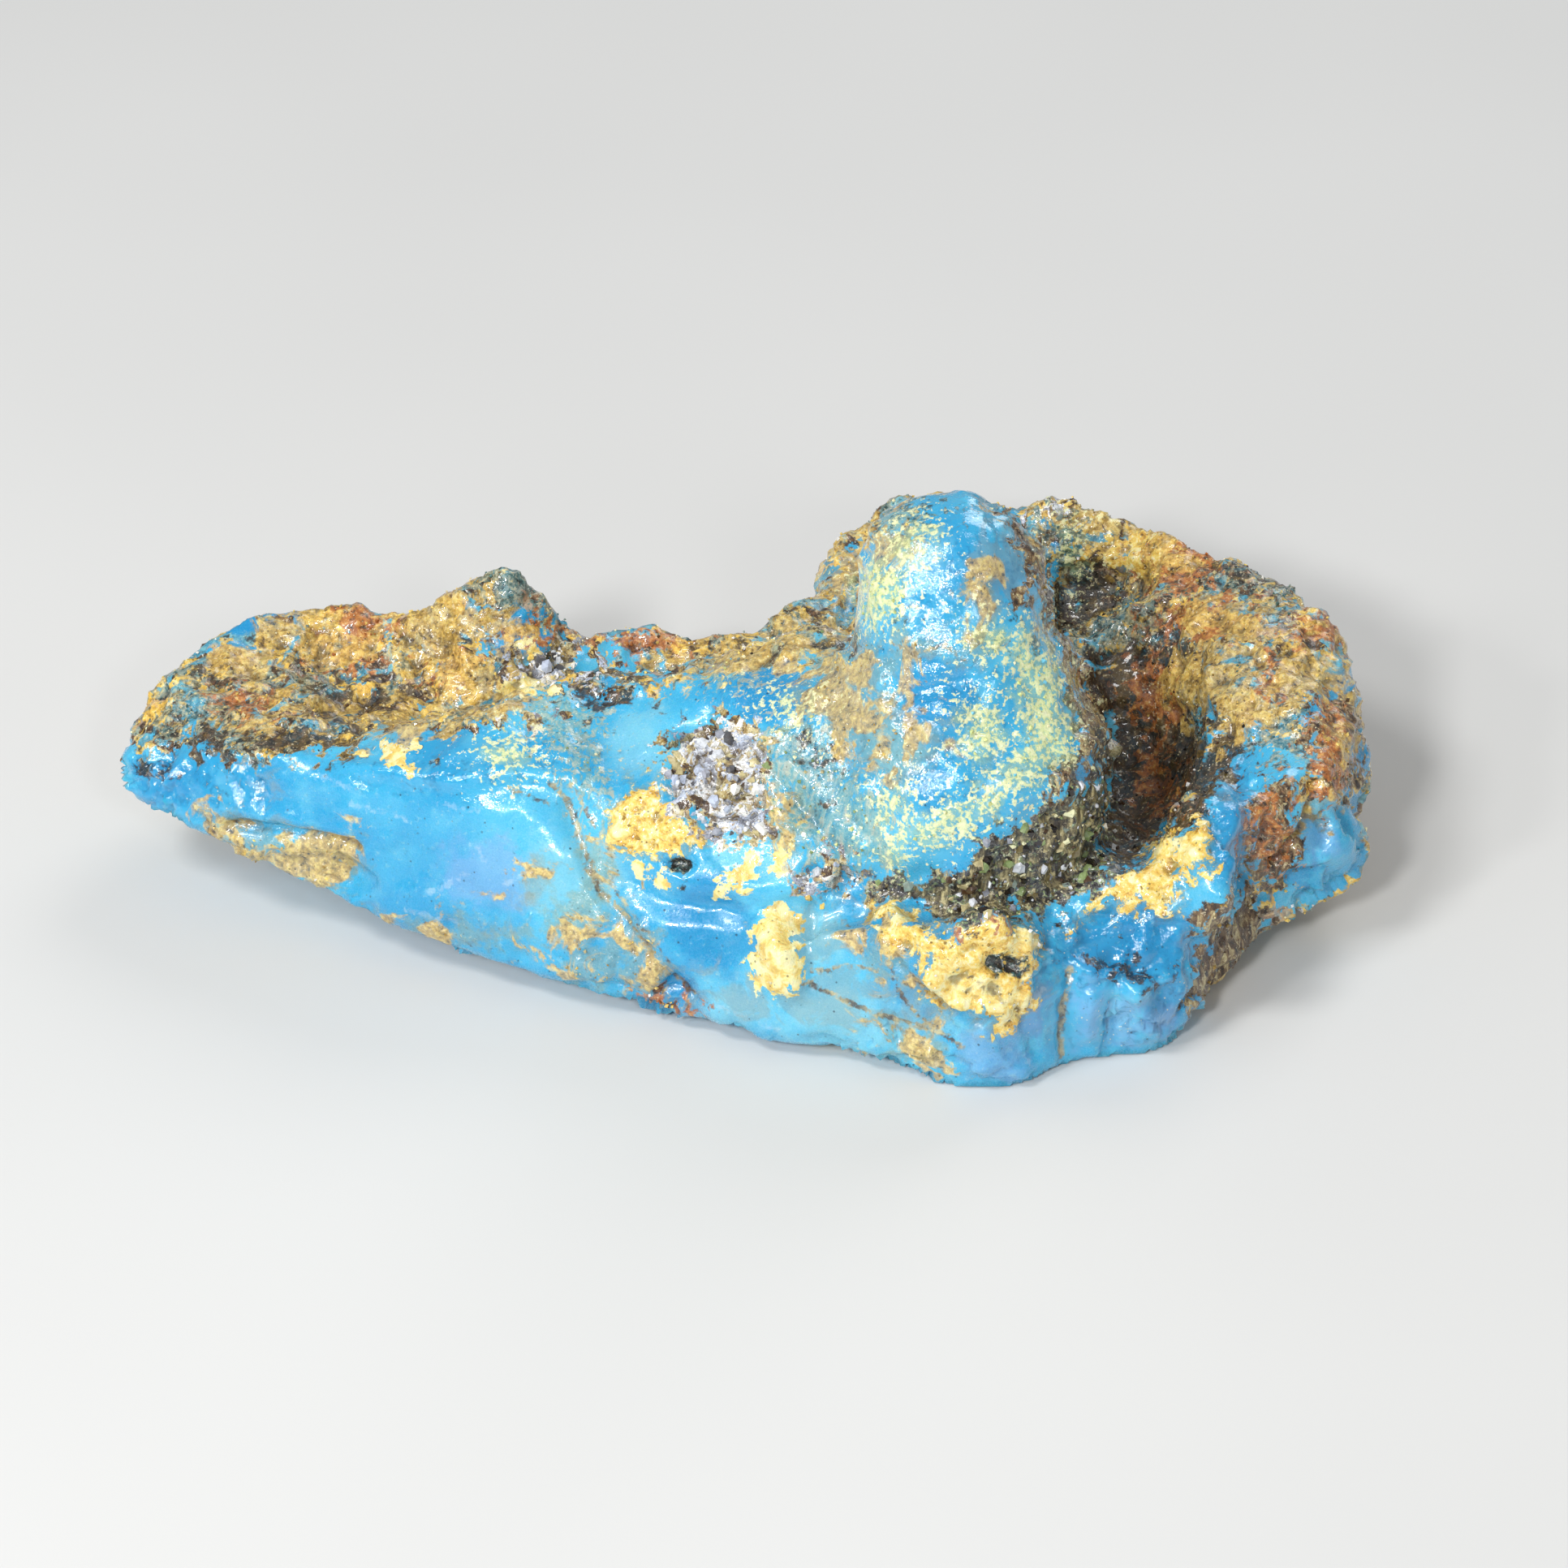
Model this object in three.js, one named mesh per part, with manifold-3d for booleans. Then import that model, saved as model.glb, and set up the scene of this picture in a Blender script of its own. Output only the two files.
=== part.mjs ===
// A rough lump of blue amber in its weathered crust, as dug and cracked open: a wedge with a
// basin on its left, a thumb-like knob at the front, a deep hollow behind the knob and a raised
// lobe at the back right. It lies on one flat broken facet. It grew as one piece, so it is one
// solid. Millimetres; +X runs to the right along its length, +Y to the back and +Z up, and the
// origin is at the middle of its base.
import * as THREE from "three";
import Module from "manifold-3d";
import { ImprovedNoise } from "three/addons/math/ImprovedNoise.js";
import { mergeVertices } from "three/addons/utils/BufferGeometryUtils.js";

// Driving dimensions, in millimetres.
const CELL = 1.2; // spacing of the grid that the surface is drawn from
const KNOB_TIP_RADIUS = 4;
const KNOB_BELLY_RADIUS = 6.5;
const KNOB_TIP_HEIGHT = 18.5; // of the tip's centre
const KNOB_BELLY_HEIGHT = 10.6; // of the belly's centre
const HOLLOW_FLOOR = 3;
const HOLLOW_RADIUS = 5;
const EDGE_ROUNDING = 1; // where the top meets the broken sides
const UNDER_ROUNDING = 1.6; // where the sides meet the underside
const LUMP_HEIGHT = 0.5; // of the crust's coarse lumps
const LUMP_LENGTH = 3.6; // from one lump to the next
const BREAK_LUMP_SHARE = 0.3; // of LUMP_HEIGHT, on the clean broken sides

// Heights of the upper surface, each [x, y, z]. The surface passes through all of them.
const TOP_HEIGHTS = {
  frontEdge: [
    [-30.6, -6.5, 6.2],
    [-27, -8.5, 7.8],
    [-23.5, -10.3, 8.8],
    [-18, -12.7, 9.6],
    [-12, -14.2, 10],
    [-8, -14.2, 10.2],
  ],
  crest: [
    [-18.4, -9.6, 9.9],
    [-15.8, -9.2, 10.2],
    [-12.9, -8.2, 10.5],
    [-9.9, -7.4, 10.9],
    [-7.7, -7.2, 11.3],
    [-3.6, -7.3, 12.1],
    [-0.6, -7.5, 12.9],
    [2.7, -8, 13.4],
  ],
  shoulder: [
    [-7.6, -11.5, 11],
    [-4.3, -11.6, 11.8],
    [-0.6, -12.6, 12],
    [-4.2, -15.2, 10.4],
    [-0.6, -16, 10.2],
    [-7.5, -16.3, 8.6],
    [-4.2, -18, 8],
    [-0.6, -19, 7.6],
  ],
  leftPlateau: [
    [-29, -4.5, 7.4],
    [-27, -2, 8.4],
    [-24.6, -4.5, 8.1],
    [-21.4, -5.7, 8.1],
    [-21.6, -1, 7.8],
    [-18.3, -5.6, 7.2],
  ],
  basin: [
    [-18, -2, 7.2],
    [-15.4, -3.6, 6.6],
    [-12.4, -4.4, 6.2],
    [-8.5, -3.6, 6.2],
    [-3.5, -3.4, 6.6],
    [0.5, -3.2, 7.2],
  ],
  leftRim: [
    [-25.5, 0.6, 9],
    [-23.2, 1.6, 9.5],
    [-20, 1.4, 9.4],
    [-17.9, 1.4, 9.1],
    [-15.5, 1, 10.4],
    [-13.4, 1.1, 11.9],
    [-11.6, 0.4, 10.6],
    [-10, 0.8, 8.6],
    [-13, -0.8, 10],
    [-12.2, -2.4, 7.8],
  ],
  lowBack: [
    [-6.4, 1.2, 8],
    [-2.5, 0.8, 8.3],
    [1, 0.6, 8.5],
  ],
  knobFoot: [
    [3.4, -18.6, 8.8],
    [7.7, -20.2, 8],
    [11.4, -18.9, 8],
    [13.6, -15, 7.6],
    [8, -3.4, 8.6],
    [11.6, -5, 7],
  ],
  frontRight: [
    [10.2, -21.9, 6.4],
    [13.2, -19.4, 7],
    [13.2, -21.4, 5],
    [16, -19, 7.2],
    [16, -21, 5],
    [18.4, -18.4, 7.2],
    [18.4, -20.3, 4.9],
  ],
  hollowSides: [
    [15.2, -14.4, 6.4],
    [17.6, -14.2, 7],
    [18.4, -10.4, 7.4],
    [18.6, -6.6, 7.8],
    [18.4, -3, 8],
    [15.6, -9, 4.4],
    [15.8, -4.6, 3.8],
    [16, -1.6, 6],
  ],
  backLobe: [
    [2.6, 6.6, 8.8],
    [5.2, 9.3, 9.8],
    [8.8, 10.4, 10],
    [13, 8.8, 9.9],
    [16.2, 8.7, 10.2],
    [18.4, 6.5, 10],
    [9, 5, 8.2],
    [4.6, 3.6, 8],
  ],
  farBasin: [
    [14.4, 4.8, 6],
    [11.6, 3.6, 6.4],
  ],
  tealRidge: [
    [13.2, -0.2, 7.9],
    [16.7, 2.3, 8.8],
    [19.8, 3.5, 10.2],
    [22.4, 2.9, 10.7],
  ],
  rightRim: [
    [24.3, 1.4, 10.5],
    [22.5, -2.1, 11],
    [20.2, -3.4, 10],
    [23.6, -7, 10.4],
    [26, -2.4, 10],
    [26.8, -5.6, 8.4],
    [22.4, -10.2, 9.6],
    [21.1, -13.6, 9.3],
    [20, -17, 8.6],
  ],
};

// Heights of the underside, each [x, y, z]. Below zero it is cut off flat, where the lump lies.
const UNDER_HEIGHTS = [
  [-31, -7, 4.4],
  [-25, -9.5, 3],
  [-17, -14, 1.4],
  [-10.5, -17, 0.8],
  [-4.6, -19.4, 0.4],
  [3, -21.5, 0.2],
  [9, -24, -0.3],
  [18, -21, -0.1],
  [22, -14, 1],
  [26, -9, 2.4],
  [27.5, -3, 3.6],
  [24, 2, 3.2],
  [18, 8, 3],
  [9, 11, 3],
  [2, 6, 2.4],
  [-10, 2, 2.4],
  [-24, 1.5, 3.6],
  [-22, -4, 1.6],
  [-8, -9, -0.9],
  [2, -14, -1.2],
  [12, -15, -1.2],
  [16, -8, -1],
  [12, 0, -0.8],
  [0, -4, -1],
  [-12, -6, 0.2],
];

// The plan at the foot of the sides, each [x, y, lean]: the side goes in by lean for each
// millimetre up.
const OUTLINE = [
  [-31.7, -7.6, 0.1],
  [-24.5, -12, 0.18],
  [-16.6, -15.8, 0.22],
  [-4.6, -20.6, 0.28],
  [3, -22.9, 0.26],
  [9.2, -24.5, 0.16],
  [13, -22.3, 0.04],
  [18, -20.8, 0.03],
  [19.6, -17.4, 0.05],
  [22.4, -14.6, 0.05],
  [25.2, -12.6, 0.05],
  [26.6, -8.6, 0.06],
  [27.4, -5, 0.08],
  [27.2, -1.9, 0.1],
  [26.2, 0.5, 0.12],
  [24.4, 2.8, 0.14],
  [22.6, 4.6, 0.14],
  [20.6, 6.4, 0.14],
  [18.6, 9.2, 0.14],
  [14.6, 10.4, 0.14],
  [9, 12, 0.14],
  [4.6, 11.2, 0.14],
  [1.3, 8.6, 0.14],
  [0.7, 4.6, 0.12],
  [-2.4, 2.2, 0.12],
  [-6.4, 2.8, 0.12],
  [-10, 2.2, 0.12],
  [-13.4, 3.2, 0.16],
  [-17, 2.9, 0.14],
  [-21, 3.1, 0.14],
  [-24.6, 2.4, 0.12],
  [-27.8, 0.6, 0.12],
  [-30.2, -2.4, 0.1],
];

// The knob: a thick post that narrows to a round tip.
const KNOB = {
  tip: [7.4, -10.5, KNOB_TIP_HEIGHT],
  belly: [8.3, -13, KNOB_BELLY_HEIGHT],
  blend: 1.6,
};

// Lumps that stand out of the body, each { at, radii, blend }.
const LUMPS = {
  knobFlank: { at: [10.7, -10.4, 9], radii: [3.8, 4.8, 4], blend: 1.6 },
  knobShoulder: { at: [2.6, -11.6, 9.4], radii: [6, 5, 4.2], blend: 2.6 },
  knobApron: { at: [6.2, -15.8, 8], radii: [6.6, 3.2, 2.8], blend: 2 },
  goldLump: { at: [7.8, -21.2, 5.8], radii: [3.9, 2.2, 2.3], blend: 0.5 },
  whiteGoldLump: { at: [-0.2, -20.2, 4.4], radii: [1.4, 1.1, 2], blend: 0.4 },
  blueLobe: { at: [19, -15.6, 7], radii: [1.7, 3.8, 2.6], blend: 0.8 },
  rightLump: { at: [24.4, -11.2, 4.4], radii: [2.4, 2.4, 2.6], blend: 0.8 },
  rightLumpBack: { at: [25.2, -7.2, 5.6], radii: [1.8, 2, 2], blend: 0.8 },
};

// Hollows taken out of the body, in the same form.
const HOLLOWS = {
  deepHollow: { at: [16.2, -6.8, HOLLOW_FLOOR + HOLLOW_RADIUS], radii: [3, 6, HOLLOW_RADIUS], blend: 1 },
  farHollow: { at: [13.6, 4.6, 8.4], radii: [4, 2.2, 3], blend: 1 },
  ochrePocket: { at: [-22.4, -13, 4], radii: [3.8, 1.4, 1.3], blend: 0.3 },
  lowerScoop: { at: [-3.2, -22.8, 5], radii: [2.6, 3.4, 1.8], blend: 0.6 },
  sideNotch: { at: [22.4, -16, 3], radii: [1.6, 2.2, 4.4], blend: 0.8 },
};

// Grooves worn or broken into the surface, each { path, radius, blend }.
const GROOVES = {
  seam: {
    path: [
      [-10, -14.6, 10],
      [-9.2, -16.4, 8.2],
      [-8.2, -17.6, 6],
      [-6.2, -18.8, 4],
      [-5.2, -19.6, 2.4],
      [-3.6, -20.4, 0.4],
    ],
    radius: 0.6,
    blend: 0.5,
  },
  shelfUndercut: {
    path: [
      [-8.4, -17.4, 7],
      [-5.3, -18.5, 6.5],
      [-2.4, -19.4, 6.5],
      [0.6, -20, 6.8],
      [3.4, -20, 7.4],
    ],
    radius: 0.9,
    blend: 0.3,
  },
  bellyFold: {
    path: [
      [4.4, -19.6, 8.2],
      [7.8, -20.6, 7.8],
      [11.6, -19.4, 7.8],
      [14.4, -16, 7.8],
    ],
    radius: 0.8,
    blend: 1.4,
  },
  backCrack: {
    path: [
      [-5, 3.4, 8.4],
      [-6.4, 3.4, 5],
      [-5, 2.6, 2],
    ],
    radius: 0.8,
    blend: 0.6,
  },
};

const smoothMax = (a, b, k) => Math.max(a, b) + (Math.max(k - Math.abs(a - b), 0) ** 2) / (4 * k);
const smoothMin = (a, b, k) => -smoothMax(-a, -b, k);

// A smooth sheet through scattered heights: the thin plate that bends least.
function thinPlate(spots) {
  const bend = (d2) => (d2 > 0 ? d2 * Math.log(d2) : 0);
  const n = spots.length;
  const rows = spots.map(([x, y, z]) => [
    ...spots.map(([u, v]) => bend((x - u) ** 2 + (y - v) ** 2)),
    1, x, y, z,
  ]);
  rows.push([...spots.map(() => 1), 0, 0, 0, 0]);
  rows.push([...spots.map(([x]) => x), 0, 0, 0, 0]);
  rows.push([...spots.map(([, y]) => y), 0, 0, 0, 0]);
  const weights = solve(rows);
  return (x, y) =>
    spots.reduce((sum, [u, v], i) => sum + weights[i] * bend((x - u) ** 2 + (y - v) ** 2), 0) +
    weights[n] + weights[n + 1] * x + weights[n + 2] * y;
}

// Solves linear equations, each a row of coefficients with its right-hand side last.
function solve(rows) {
  const n = rows.length;
  for (let col = 0; col < n; col++) {
    let best = col;
    for (let r = col + 1; r < n; r++) if (Math.abs(rows[r][col]) > Math.abs(rows[best][col])) best = r;
    [rows[col], rows[best]] = [rows[best], rows[col]];
    for (let r = 0; r < n; r++) {
      if (r === col || rows[r][col] === 0) continue;
      const share = rows[r][col] / rows[col][col];
      for (let k = col; k <= n; k++) rows[r][k] -= share * rows[col][k];
    }
  }
  return rows.map((row, i) => row[n] / row[i]);
}

// The plan's outline as a closed curve, and how far a point lies outside it, with the lean there.
function planOutline() {
  const knots = OUTLINE.map((point) => new THREE.Vector3(...point));
  const points = new THREE.CatmullRomCurve3(knots, true, "centripetal").getSpacedPoints(220);
  return (x, y) => {
    let nearest = Infinity;
    let lean = 0;
    let inside = false;
    for (let i = 1; i < points.length; i++) {
      const a = points[i - 1];
      const b = points[i];
      const dx = b.x - a.x;
      const dy = b.y - a.y;
      const t = THREE.MathUtils.clamp(((x - a.x) * dx + (y - a.y) * dy) / (dx * dx + dy * dy), 0, 1);
      const d = Math.hypot(x - a.x - t * dx, y - a.y - t * dy);
      if (d < nearest) {
        nearest = d;
        lean = a.z + t * (b.z - a.z);
      }
      if (a.y > y !== b.y > y && x < a.x + ((y - a.y) / dy) * dx) inside = !inside;
    }
    return { out: inside ? -nearest : nearest, lean };
  };
}

// About the distance to an ellipsoid, negative inside.
function ellipsoid({ at, radii }, x, y, z) {
  const p = [x - at[0], y - at[1], z - at[2]];
  const scaled = Math.hypot(...p.map((v, i) => v / radii[i]));
  const steep = Math.hypot(...p.map((v, i) => v / radii[i] ** 2));
  return steep > 0 ? (scaled * (scaled - 1)) / steep : -Math.min(...radii);
}

// How far p lies from the segment a to b, and how far along it, from 0 to 1, the nearest spot is.
function toSegment(p, a, b) {
  const along = b.map((v, i) => v - a[i]);
  const rise = p.map((v, i) => v - a[i]);
  const dot = (u, v) => u.reduce((sum, w, i) => sum + w * v[i], 0);
  const t = THREE.MathUtils.clamp(dot(rise, along) / dot(along, along), 0, 1);
  return { distance: Math.hypot(...rise.map((v, i) => v - t * along[i])), t };
}

function knob(x, y, z) {
  const { distance, t } = toSegment([x, y, z], KNOB.tip, KNOB.belly);
  return distance - THREE.MathUtils.lerp(KNOB_TIP_RADIUS, KNOB_BELLY_RADIUS, t);
}

function groove({ path, radius }, x, y, z) {
  const reaches = path.slice(1).map((b, i) => toSegment([x, y, z], path[i], b).distance);
  return Math.min(...reaches) - radius;
}

// The stone as one function of place: negative inside, about the distance in millimetres.
function stoneField() {
  const top = thinPlate(Object.values(TOP_HEIGHTS).flat());
  const under = thinPlate(UNDER_HEIGHTS);
  const outline = planOutline();
  const noise = new ImprovedNoise();
  const columns = new Map();

  function column(x, y) {
    const key = `${x.toFixed(3)},${y.toFixed(3)}`;
    if (!columns.has(key)) {
      const step = 0.4;
      const height = top(x, y);
      const slope = Math.hypot(top(x + step, y) - height, top(x, y + step) - height) / step;
      columns.set(key, { height, floor: under(x, y), steep: Math.hypot(1, slope), ...outline(x, y) });
    }
    return columns.get(key);
  }

  return (x, y, z) => {
    const { height, floor, steep, out, lean } = column(x, y);
    const above = (z - height) / steep;
    const beside = (out + lean * z) / Math.hypot(1, lean);
    let f = smoothMax(above, beside, EDGE_ROUNDING);
    f = smoothMax(f, floor - z, UNDER_ROUNDING);
    f = smoothMin(f, knob(x, y, z), KNOB.blend);
    for (const lump of Object.values(LUMPS)) f = smoothMin(f, ellipsoid(lump, x, y, z), lump.blend);
    for (const hollow of Object.values(HOLLOWS)) f = smoothMax(f, -ellipsoid(hollow, x, y, z), hollow.blend);
    for (const cut of Object.values(GROOVES)) f = smoothMax(f, -groove(cut, x, y, z), cut.blend);
    const onBreak = THREE.MathUtils.smoothstep(beside - above, -1, 1);
    const share = 1 - (1 - BREAK_LUMP_SHARE) * onBreak;
    const [u, v, w] = [x / LUMP_LENGTH, y / LUMP_LENGTH, z / LUMP_LENGTH];
    const lumps = noise.noise(u, v, w) + 0.5 * noise.noise(2 * u, 2 * v, 2 * w + 7);
    return f + LUMP_HEIGHT * share * lumps;
  };
}

// Draws the surface where field is zero: one vertex in each grid cell that the surface crosses,
// and one quad across each crossed grid edge. The vertex goes where the planes that touch the
// surface at the cell's crossings meet, so that edges and hollows stay crisp.
function surfaceOf(field, low, high, cell) {
  const [nx, ny, nz] = low.map((v, i) => Math.ceil((high[i] - v) / cell) + 1);
  const index = (i, j, k) => (k * ny + j) * nx + i;
  const place = (i, j, k) => new THREE.Vector3(i, j, k).multiplyScalar(cell).add(new THREE.Vector3(...low));
  const at = (p) => field(p.x, p.y, p.z);
  const forCells = (from, visit) => {
    for (let j = from; j < ny - 1; j++)
      for (let i = from; i < nx - 1; i++) for (let k = from; k < nz - 1; k++) visit(i, j, k);
  };

  const values = new Float64Array(nx * ny * nz);
  for (let j = 0; j < ny; j++)
    for (let i = 0; i < nx; i++) for (let k = 0; k < nz; k++) values[index(i, j, k)] = at(place(i, j, k));
  const cornersOf = (i, j, k) => CUBE.map(([x, y, z]) => index(i + x, j + y, k + z));
  fillTouchingCells(values, cornersOf, forCells);

  const positions = [];
  const vertexOf = new Map();
  forCells(0, (i, j, k) => {
    const held = cornersOf(i, j, k).map((n) => values[n]);
    const crossings = CUBE_EDGES.filter(([a, b]) => held[a] < 0 !== held[b] < 0).map(([a, b]) => {
      const t = held[a] / (held[a] - held[b]);
      const within = new THREE.Vector3(...CUBE[a]).lerp(new THREE.Vector3(...CUBE[b]), t);
      return place(i, j, k).add(within.multiplyScalar(cell));
    });
    if (!crossings.length) return;
    vertexOf.set(index(i, j, k), positions.length / 3);
    const vertex = meetingPoint(crossings, at, cell);
    vertex.clamp(place(i, j, k), place(i + 1, j + 1, k + 1));
    positions.push(...vertex);
  });

  const triangles = [];
  const corner = (n) => new THREE.Vector3().fromArray(positions, 3 * n);
  forCells(1, (i, j, k) =>
    AXES.forEach(([x, y, z], axis) => {
      const inside = values[index(i, j, k)] < 0;
      if (inside === values[index(i + x, j + y, k + z)] < 0) return;
      const u = AXES[(axis + 1) % 3];
      const v = AXES[(axis + 2) % 3];
      const vertexAt = (p, q) =>
        vertexOf.get(index(i - p * u[0] - q * v[0], j - p * u[1] - q * v[1], k - p * u[2] - q * v[2]));
      const quad = [vertexAt(0, 0), vertexAt(1, 0), vertexAt(1, 1), vertexAt(0, 1)];
      if (!inside) quad.reverse();
      const [a, b, c, d] = quad;
      const acrossIsShorter = corner(a).distanceTo(corner(c)) < corner(b).distanceTo(corner(d));
      triangles.push(...(acrossIsShorter ? [a, b, c, a, c, d] : [b, c, d, b, d, a]));
    }),
  );

  const geometry = new THREE.BufferGeometry();
  geometry.setAttribute("position", new THREE.Float32BufferAttribute(positions, 3));
  geometry.setIndex(triangles);
  return geometry;
}

const AXES = [
  [1, 0, 0],
  [0, 1, 0],
  [0, 0, 1],
];
const CUBE = [0, 1, 2, 3, 4, 5, 6, 7].map((c) => [c & 1, (c >> 1) & 1, (c >> 2) & 1]);
const CUBE_EDGES = CUBE.flatMap((_, a) => [1, 2, 4].filter((bit) => !(a & bit)).map((bit) => [a, a | bit]));
const CUBE_FACES = [
  [0, 1, 2, 3],
  [0, 1, 4, 5],
  [0, 2, 4, 6],
];

// Fills the few cells where two parts of the stone would touch along one line only.
function fillTouchingCells(values, cornersOf, forCells) {
  const fill = -0.02;
  forCells(0, (i, j, k) => {
    const corners = cornersOf(i, j, k);
    for (const face of CUBE_FACES) {
      const held = face.map((n) => corners[n]);
      const [a, b, c, d] = held.map((n) => values[n] < 0);
      if (a !== d || b !== c || a === b) continue;
      for (const n of held) values[n] = Math.min(values[n], fill);
    }
  });
}

// Where the planes that touch the surface at the given points meet, drawn a little to their middle.
function meetingPoint(points, at, cell) {
  const pull = 0.08;
  const reach = 0.15 * cell;
  const middle = points.reduce((sum, p) => sum.add(p), new THREE.Vector3()).divideScalar(points.length);
  const rows = AXES.map((_, axis) => [0, 0, 0, 0].map((v, i) => (i === axis ? pull : v)));
  for (const p of points) {
    const normal = new THREE.Vector3(
      ...AXES.map((axis) => {
        const step = new THREE.Vector3(...axis).multiplyScalar(reach);
        return at(p.clone().add(step)) - at(p.clone().sub(step));
      }),
    ).normalize();
    const offset = normal.dot(p.clone().sub(middle));
    const n = normal.toArray();
    rows.forEach((row, r) => [...n, offset].forEach((v, c) => (row[c] += n[r] * v)));
  }
  return middle.add(new THREE.Vector3(...solve(rows)));
}

const wasm = await Module();
wasm.setup();

function toSolid(geometry) {
  const bare = geometry.clone();
  bare.deleteAttribute("normal");
  bare.deleteAttribute("uv");
  const merged = mergeVertices(bare, 1e-4);
  return new wasm.Manifold(
    new wasm.Mesh({
      numProp: 3,
      vertProperties: new Float32Array(merged.attributes.position.array),
      triVerts: new Uint32Array(merged.index.array),
    }),
  );
}

function toGeometry(solid) {
  const mesh = solid.getMesh();
  const geometry = new THREE.BufferGeometry();
  geometry.setAttribute("position", new THREE.BufferAttribute(new Float32Array(mesh.vertProperties), 3));
  geometry.setIndex(new THREE.BufferAttribute(new Uint32Array(mesh.triVerts), 1));
  return geometry;
}

// The whole lump, cut off flat at z = 0 and moved so that the middle of its box is over the origin.
function stoneGeometry() {
  const low = [-36, -30, -5];
  const high = [34, 20, 27];
  const lump = toSolid(surfaceOf(stoneField(), low, high, CELL));
  const ground = new THREE.BoxGeometry(80, 80, 10).translate(0, 0, -5);
  const geometry = toGeometry(lump.subtract(toSolid(ground)));
  geometry.computeBoundingBox();
  const middle = geometry.boundingBox.getCenter(new THREE.Vector3());
  geometry.translate(-middle.x, -middle.y, 0);
  geometry.computeVertexNormals();
  return geometry;
}

const crusted = new THREE.MeshStandardMaterial({ color: 0x3a9fd6, roughness: 0.35, metalness: 0 });

const stone = new THREE.Mesh(stoneGeometry(), crusted);
stone.name = "blue_amber_lump";

const part = new THREE.Group();
part.add(stone);

export default part;
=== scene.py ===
"""The looks of a rough lump of blue amber: a waxy blue resin with broken faces, under a mottled
ochre, brown and grey crust of fine grains, and with a wet, rounded knob at the front."""

import math

import bmesh
import bpy
import numpy as np
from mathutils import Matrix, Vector, noise
from mathutils.bvhtree import BVHTree


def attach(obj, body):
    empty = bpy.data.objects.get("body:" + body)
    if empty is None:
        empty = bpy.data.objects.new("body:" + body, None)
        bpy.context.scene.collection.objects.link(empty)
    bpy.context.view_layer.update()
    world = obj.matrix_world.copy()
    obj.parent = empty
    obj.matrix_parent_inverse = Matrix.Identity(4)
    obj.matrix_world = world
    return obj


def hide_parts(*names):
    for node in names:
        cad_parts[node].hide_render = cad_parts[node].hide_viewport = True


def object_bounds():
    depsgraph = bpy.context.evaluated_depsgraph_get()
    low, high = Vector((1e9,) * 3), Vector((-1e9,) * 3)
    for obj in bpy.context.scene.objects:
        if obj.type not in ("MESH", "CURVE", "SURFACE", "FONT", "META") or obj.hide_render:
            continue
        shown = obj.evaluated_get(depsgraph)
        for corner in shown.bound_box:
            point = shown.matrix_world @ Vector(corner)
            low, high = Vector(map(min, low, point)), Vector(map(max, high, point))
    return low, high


MM = 0.001
PHOTO_SIDE = 1932  # pixels
SCALE = 25.75  # pixels to a millimetre, at the middle of the view
DISTANCE = 310.0  # of the camera, in mm
ELEVATION = math.radians(35)
AIM = np.array([2.068, 6.417, 0.0])  # the spot on the ground at the middle of the view, in mm
SENSOR = 36.0
FOCAL_PIXELS = SCALE * DISTANCE
CLIP = 0.01, 5.0  # m

VOXEL = 0.24  # mm, the spacing of the visible surface's vertices
SMOOTHING = 9  # rounds that take the solid's facets out
SOFTENING = 14  # rounds that spread a value over about a millimetre
BASE_HEIGHT = 0.02  # mm, below which a vertex belongs to the flat facet that the lump rests on
OVER_BOX = 0.3  # mm, the furthest that the skin may pass the solid's box
FAR = 3.0  # mm, how far outside its marks a field still counts
BUMP_HEIGHT = 0.2  # mm
NOISE_SEED = 5
WARPS = (1.5, 0, 0.6), (0.5, 40, 0.35)  # a noise's length in mm, its shift, and its push in mm
IOR = 1.54

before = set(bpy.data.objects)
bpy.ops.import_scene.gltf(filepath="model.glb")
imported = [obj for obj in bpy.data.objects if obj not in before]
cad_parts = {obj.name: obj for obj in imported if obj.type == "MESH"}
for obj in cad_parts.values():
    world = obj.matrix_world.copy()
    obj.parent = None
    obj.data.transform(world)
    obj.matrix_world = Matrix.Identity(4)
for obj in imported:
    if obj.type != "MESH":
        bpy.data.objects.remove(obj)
cad_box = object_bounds()
noise.seed_set(NOISE_SEED)

# The camera's axes and its place in mm.
RIGHT = np.array([1, 0, 0])
UP = np.array([0, math.sin(ELEVATION), math.cos(ELEVATION)])
BACK = np.array([0, -math.cos(ELEVATION), math.sin(ELEVATION)])
EYE = AIM + BACK * DISTANCE


def camera():
    data = bpy.data.cameras.new("camera")
    data.sensor_width = SENSOR
    data.lens = FOCAL_PIXELS / PHOTO_SIDE * SENSOR
    data.clip_start, data.clip_end = CLIP
    cam = bpy.data.objects.new("camera", data)
    bpy.context.collection.objects.link(cam)
    cam.location = Vector(EYE) * MM
    cam.rotation_euler = (math.pi / 2 - ELEVATION, 0, 0)
    bpy.context.scene.camera = cam
    bpy.context.scene.view_settings.view_transform = "Standard"


def sight(px, py):
    """The direction from the camera towards a pixel of the photograph."""
    a, b = (px - PHOTO_SIDE / 2) / FOCAL_PIXELS, (PHOTO_SIDE / 2 - py) / FOCAL_PIXELS
    return RIGHT * a + UP * b - BACK


def in_photo(at):
    """The pixels of the photograph at which some places, in mm, are seen."""
    from_eye = at - EYE
    depth = -(from_eye @ BACK)
    x = PHOTO_SIDE / 2 + FOCAL_PIXELS * (from_eye @ RIGHT) / depth
    y = PHOTO_SIDE / 2 - FOCAL_PIXELS * (from_eye @ UP) / depth
    return x, y


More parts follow.
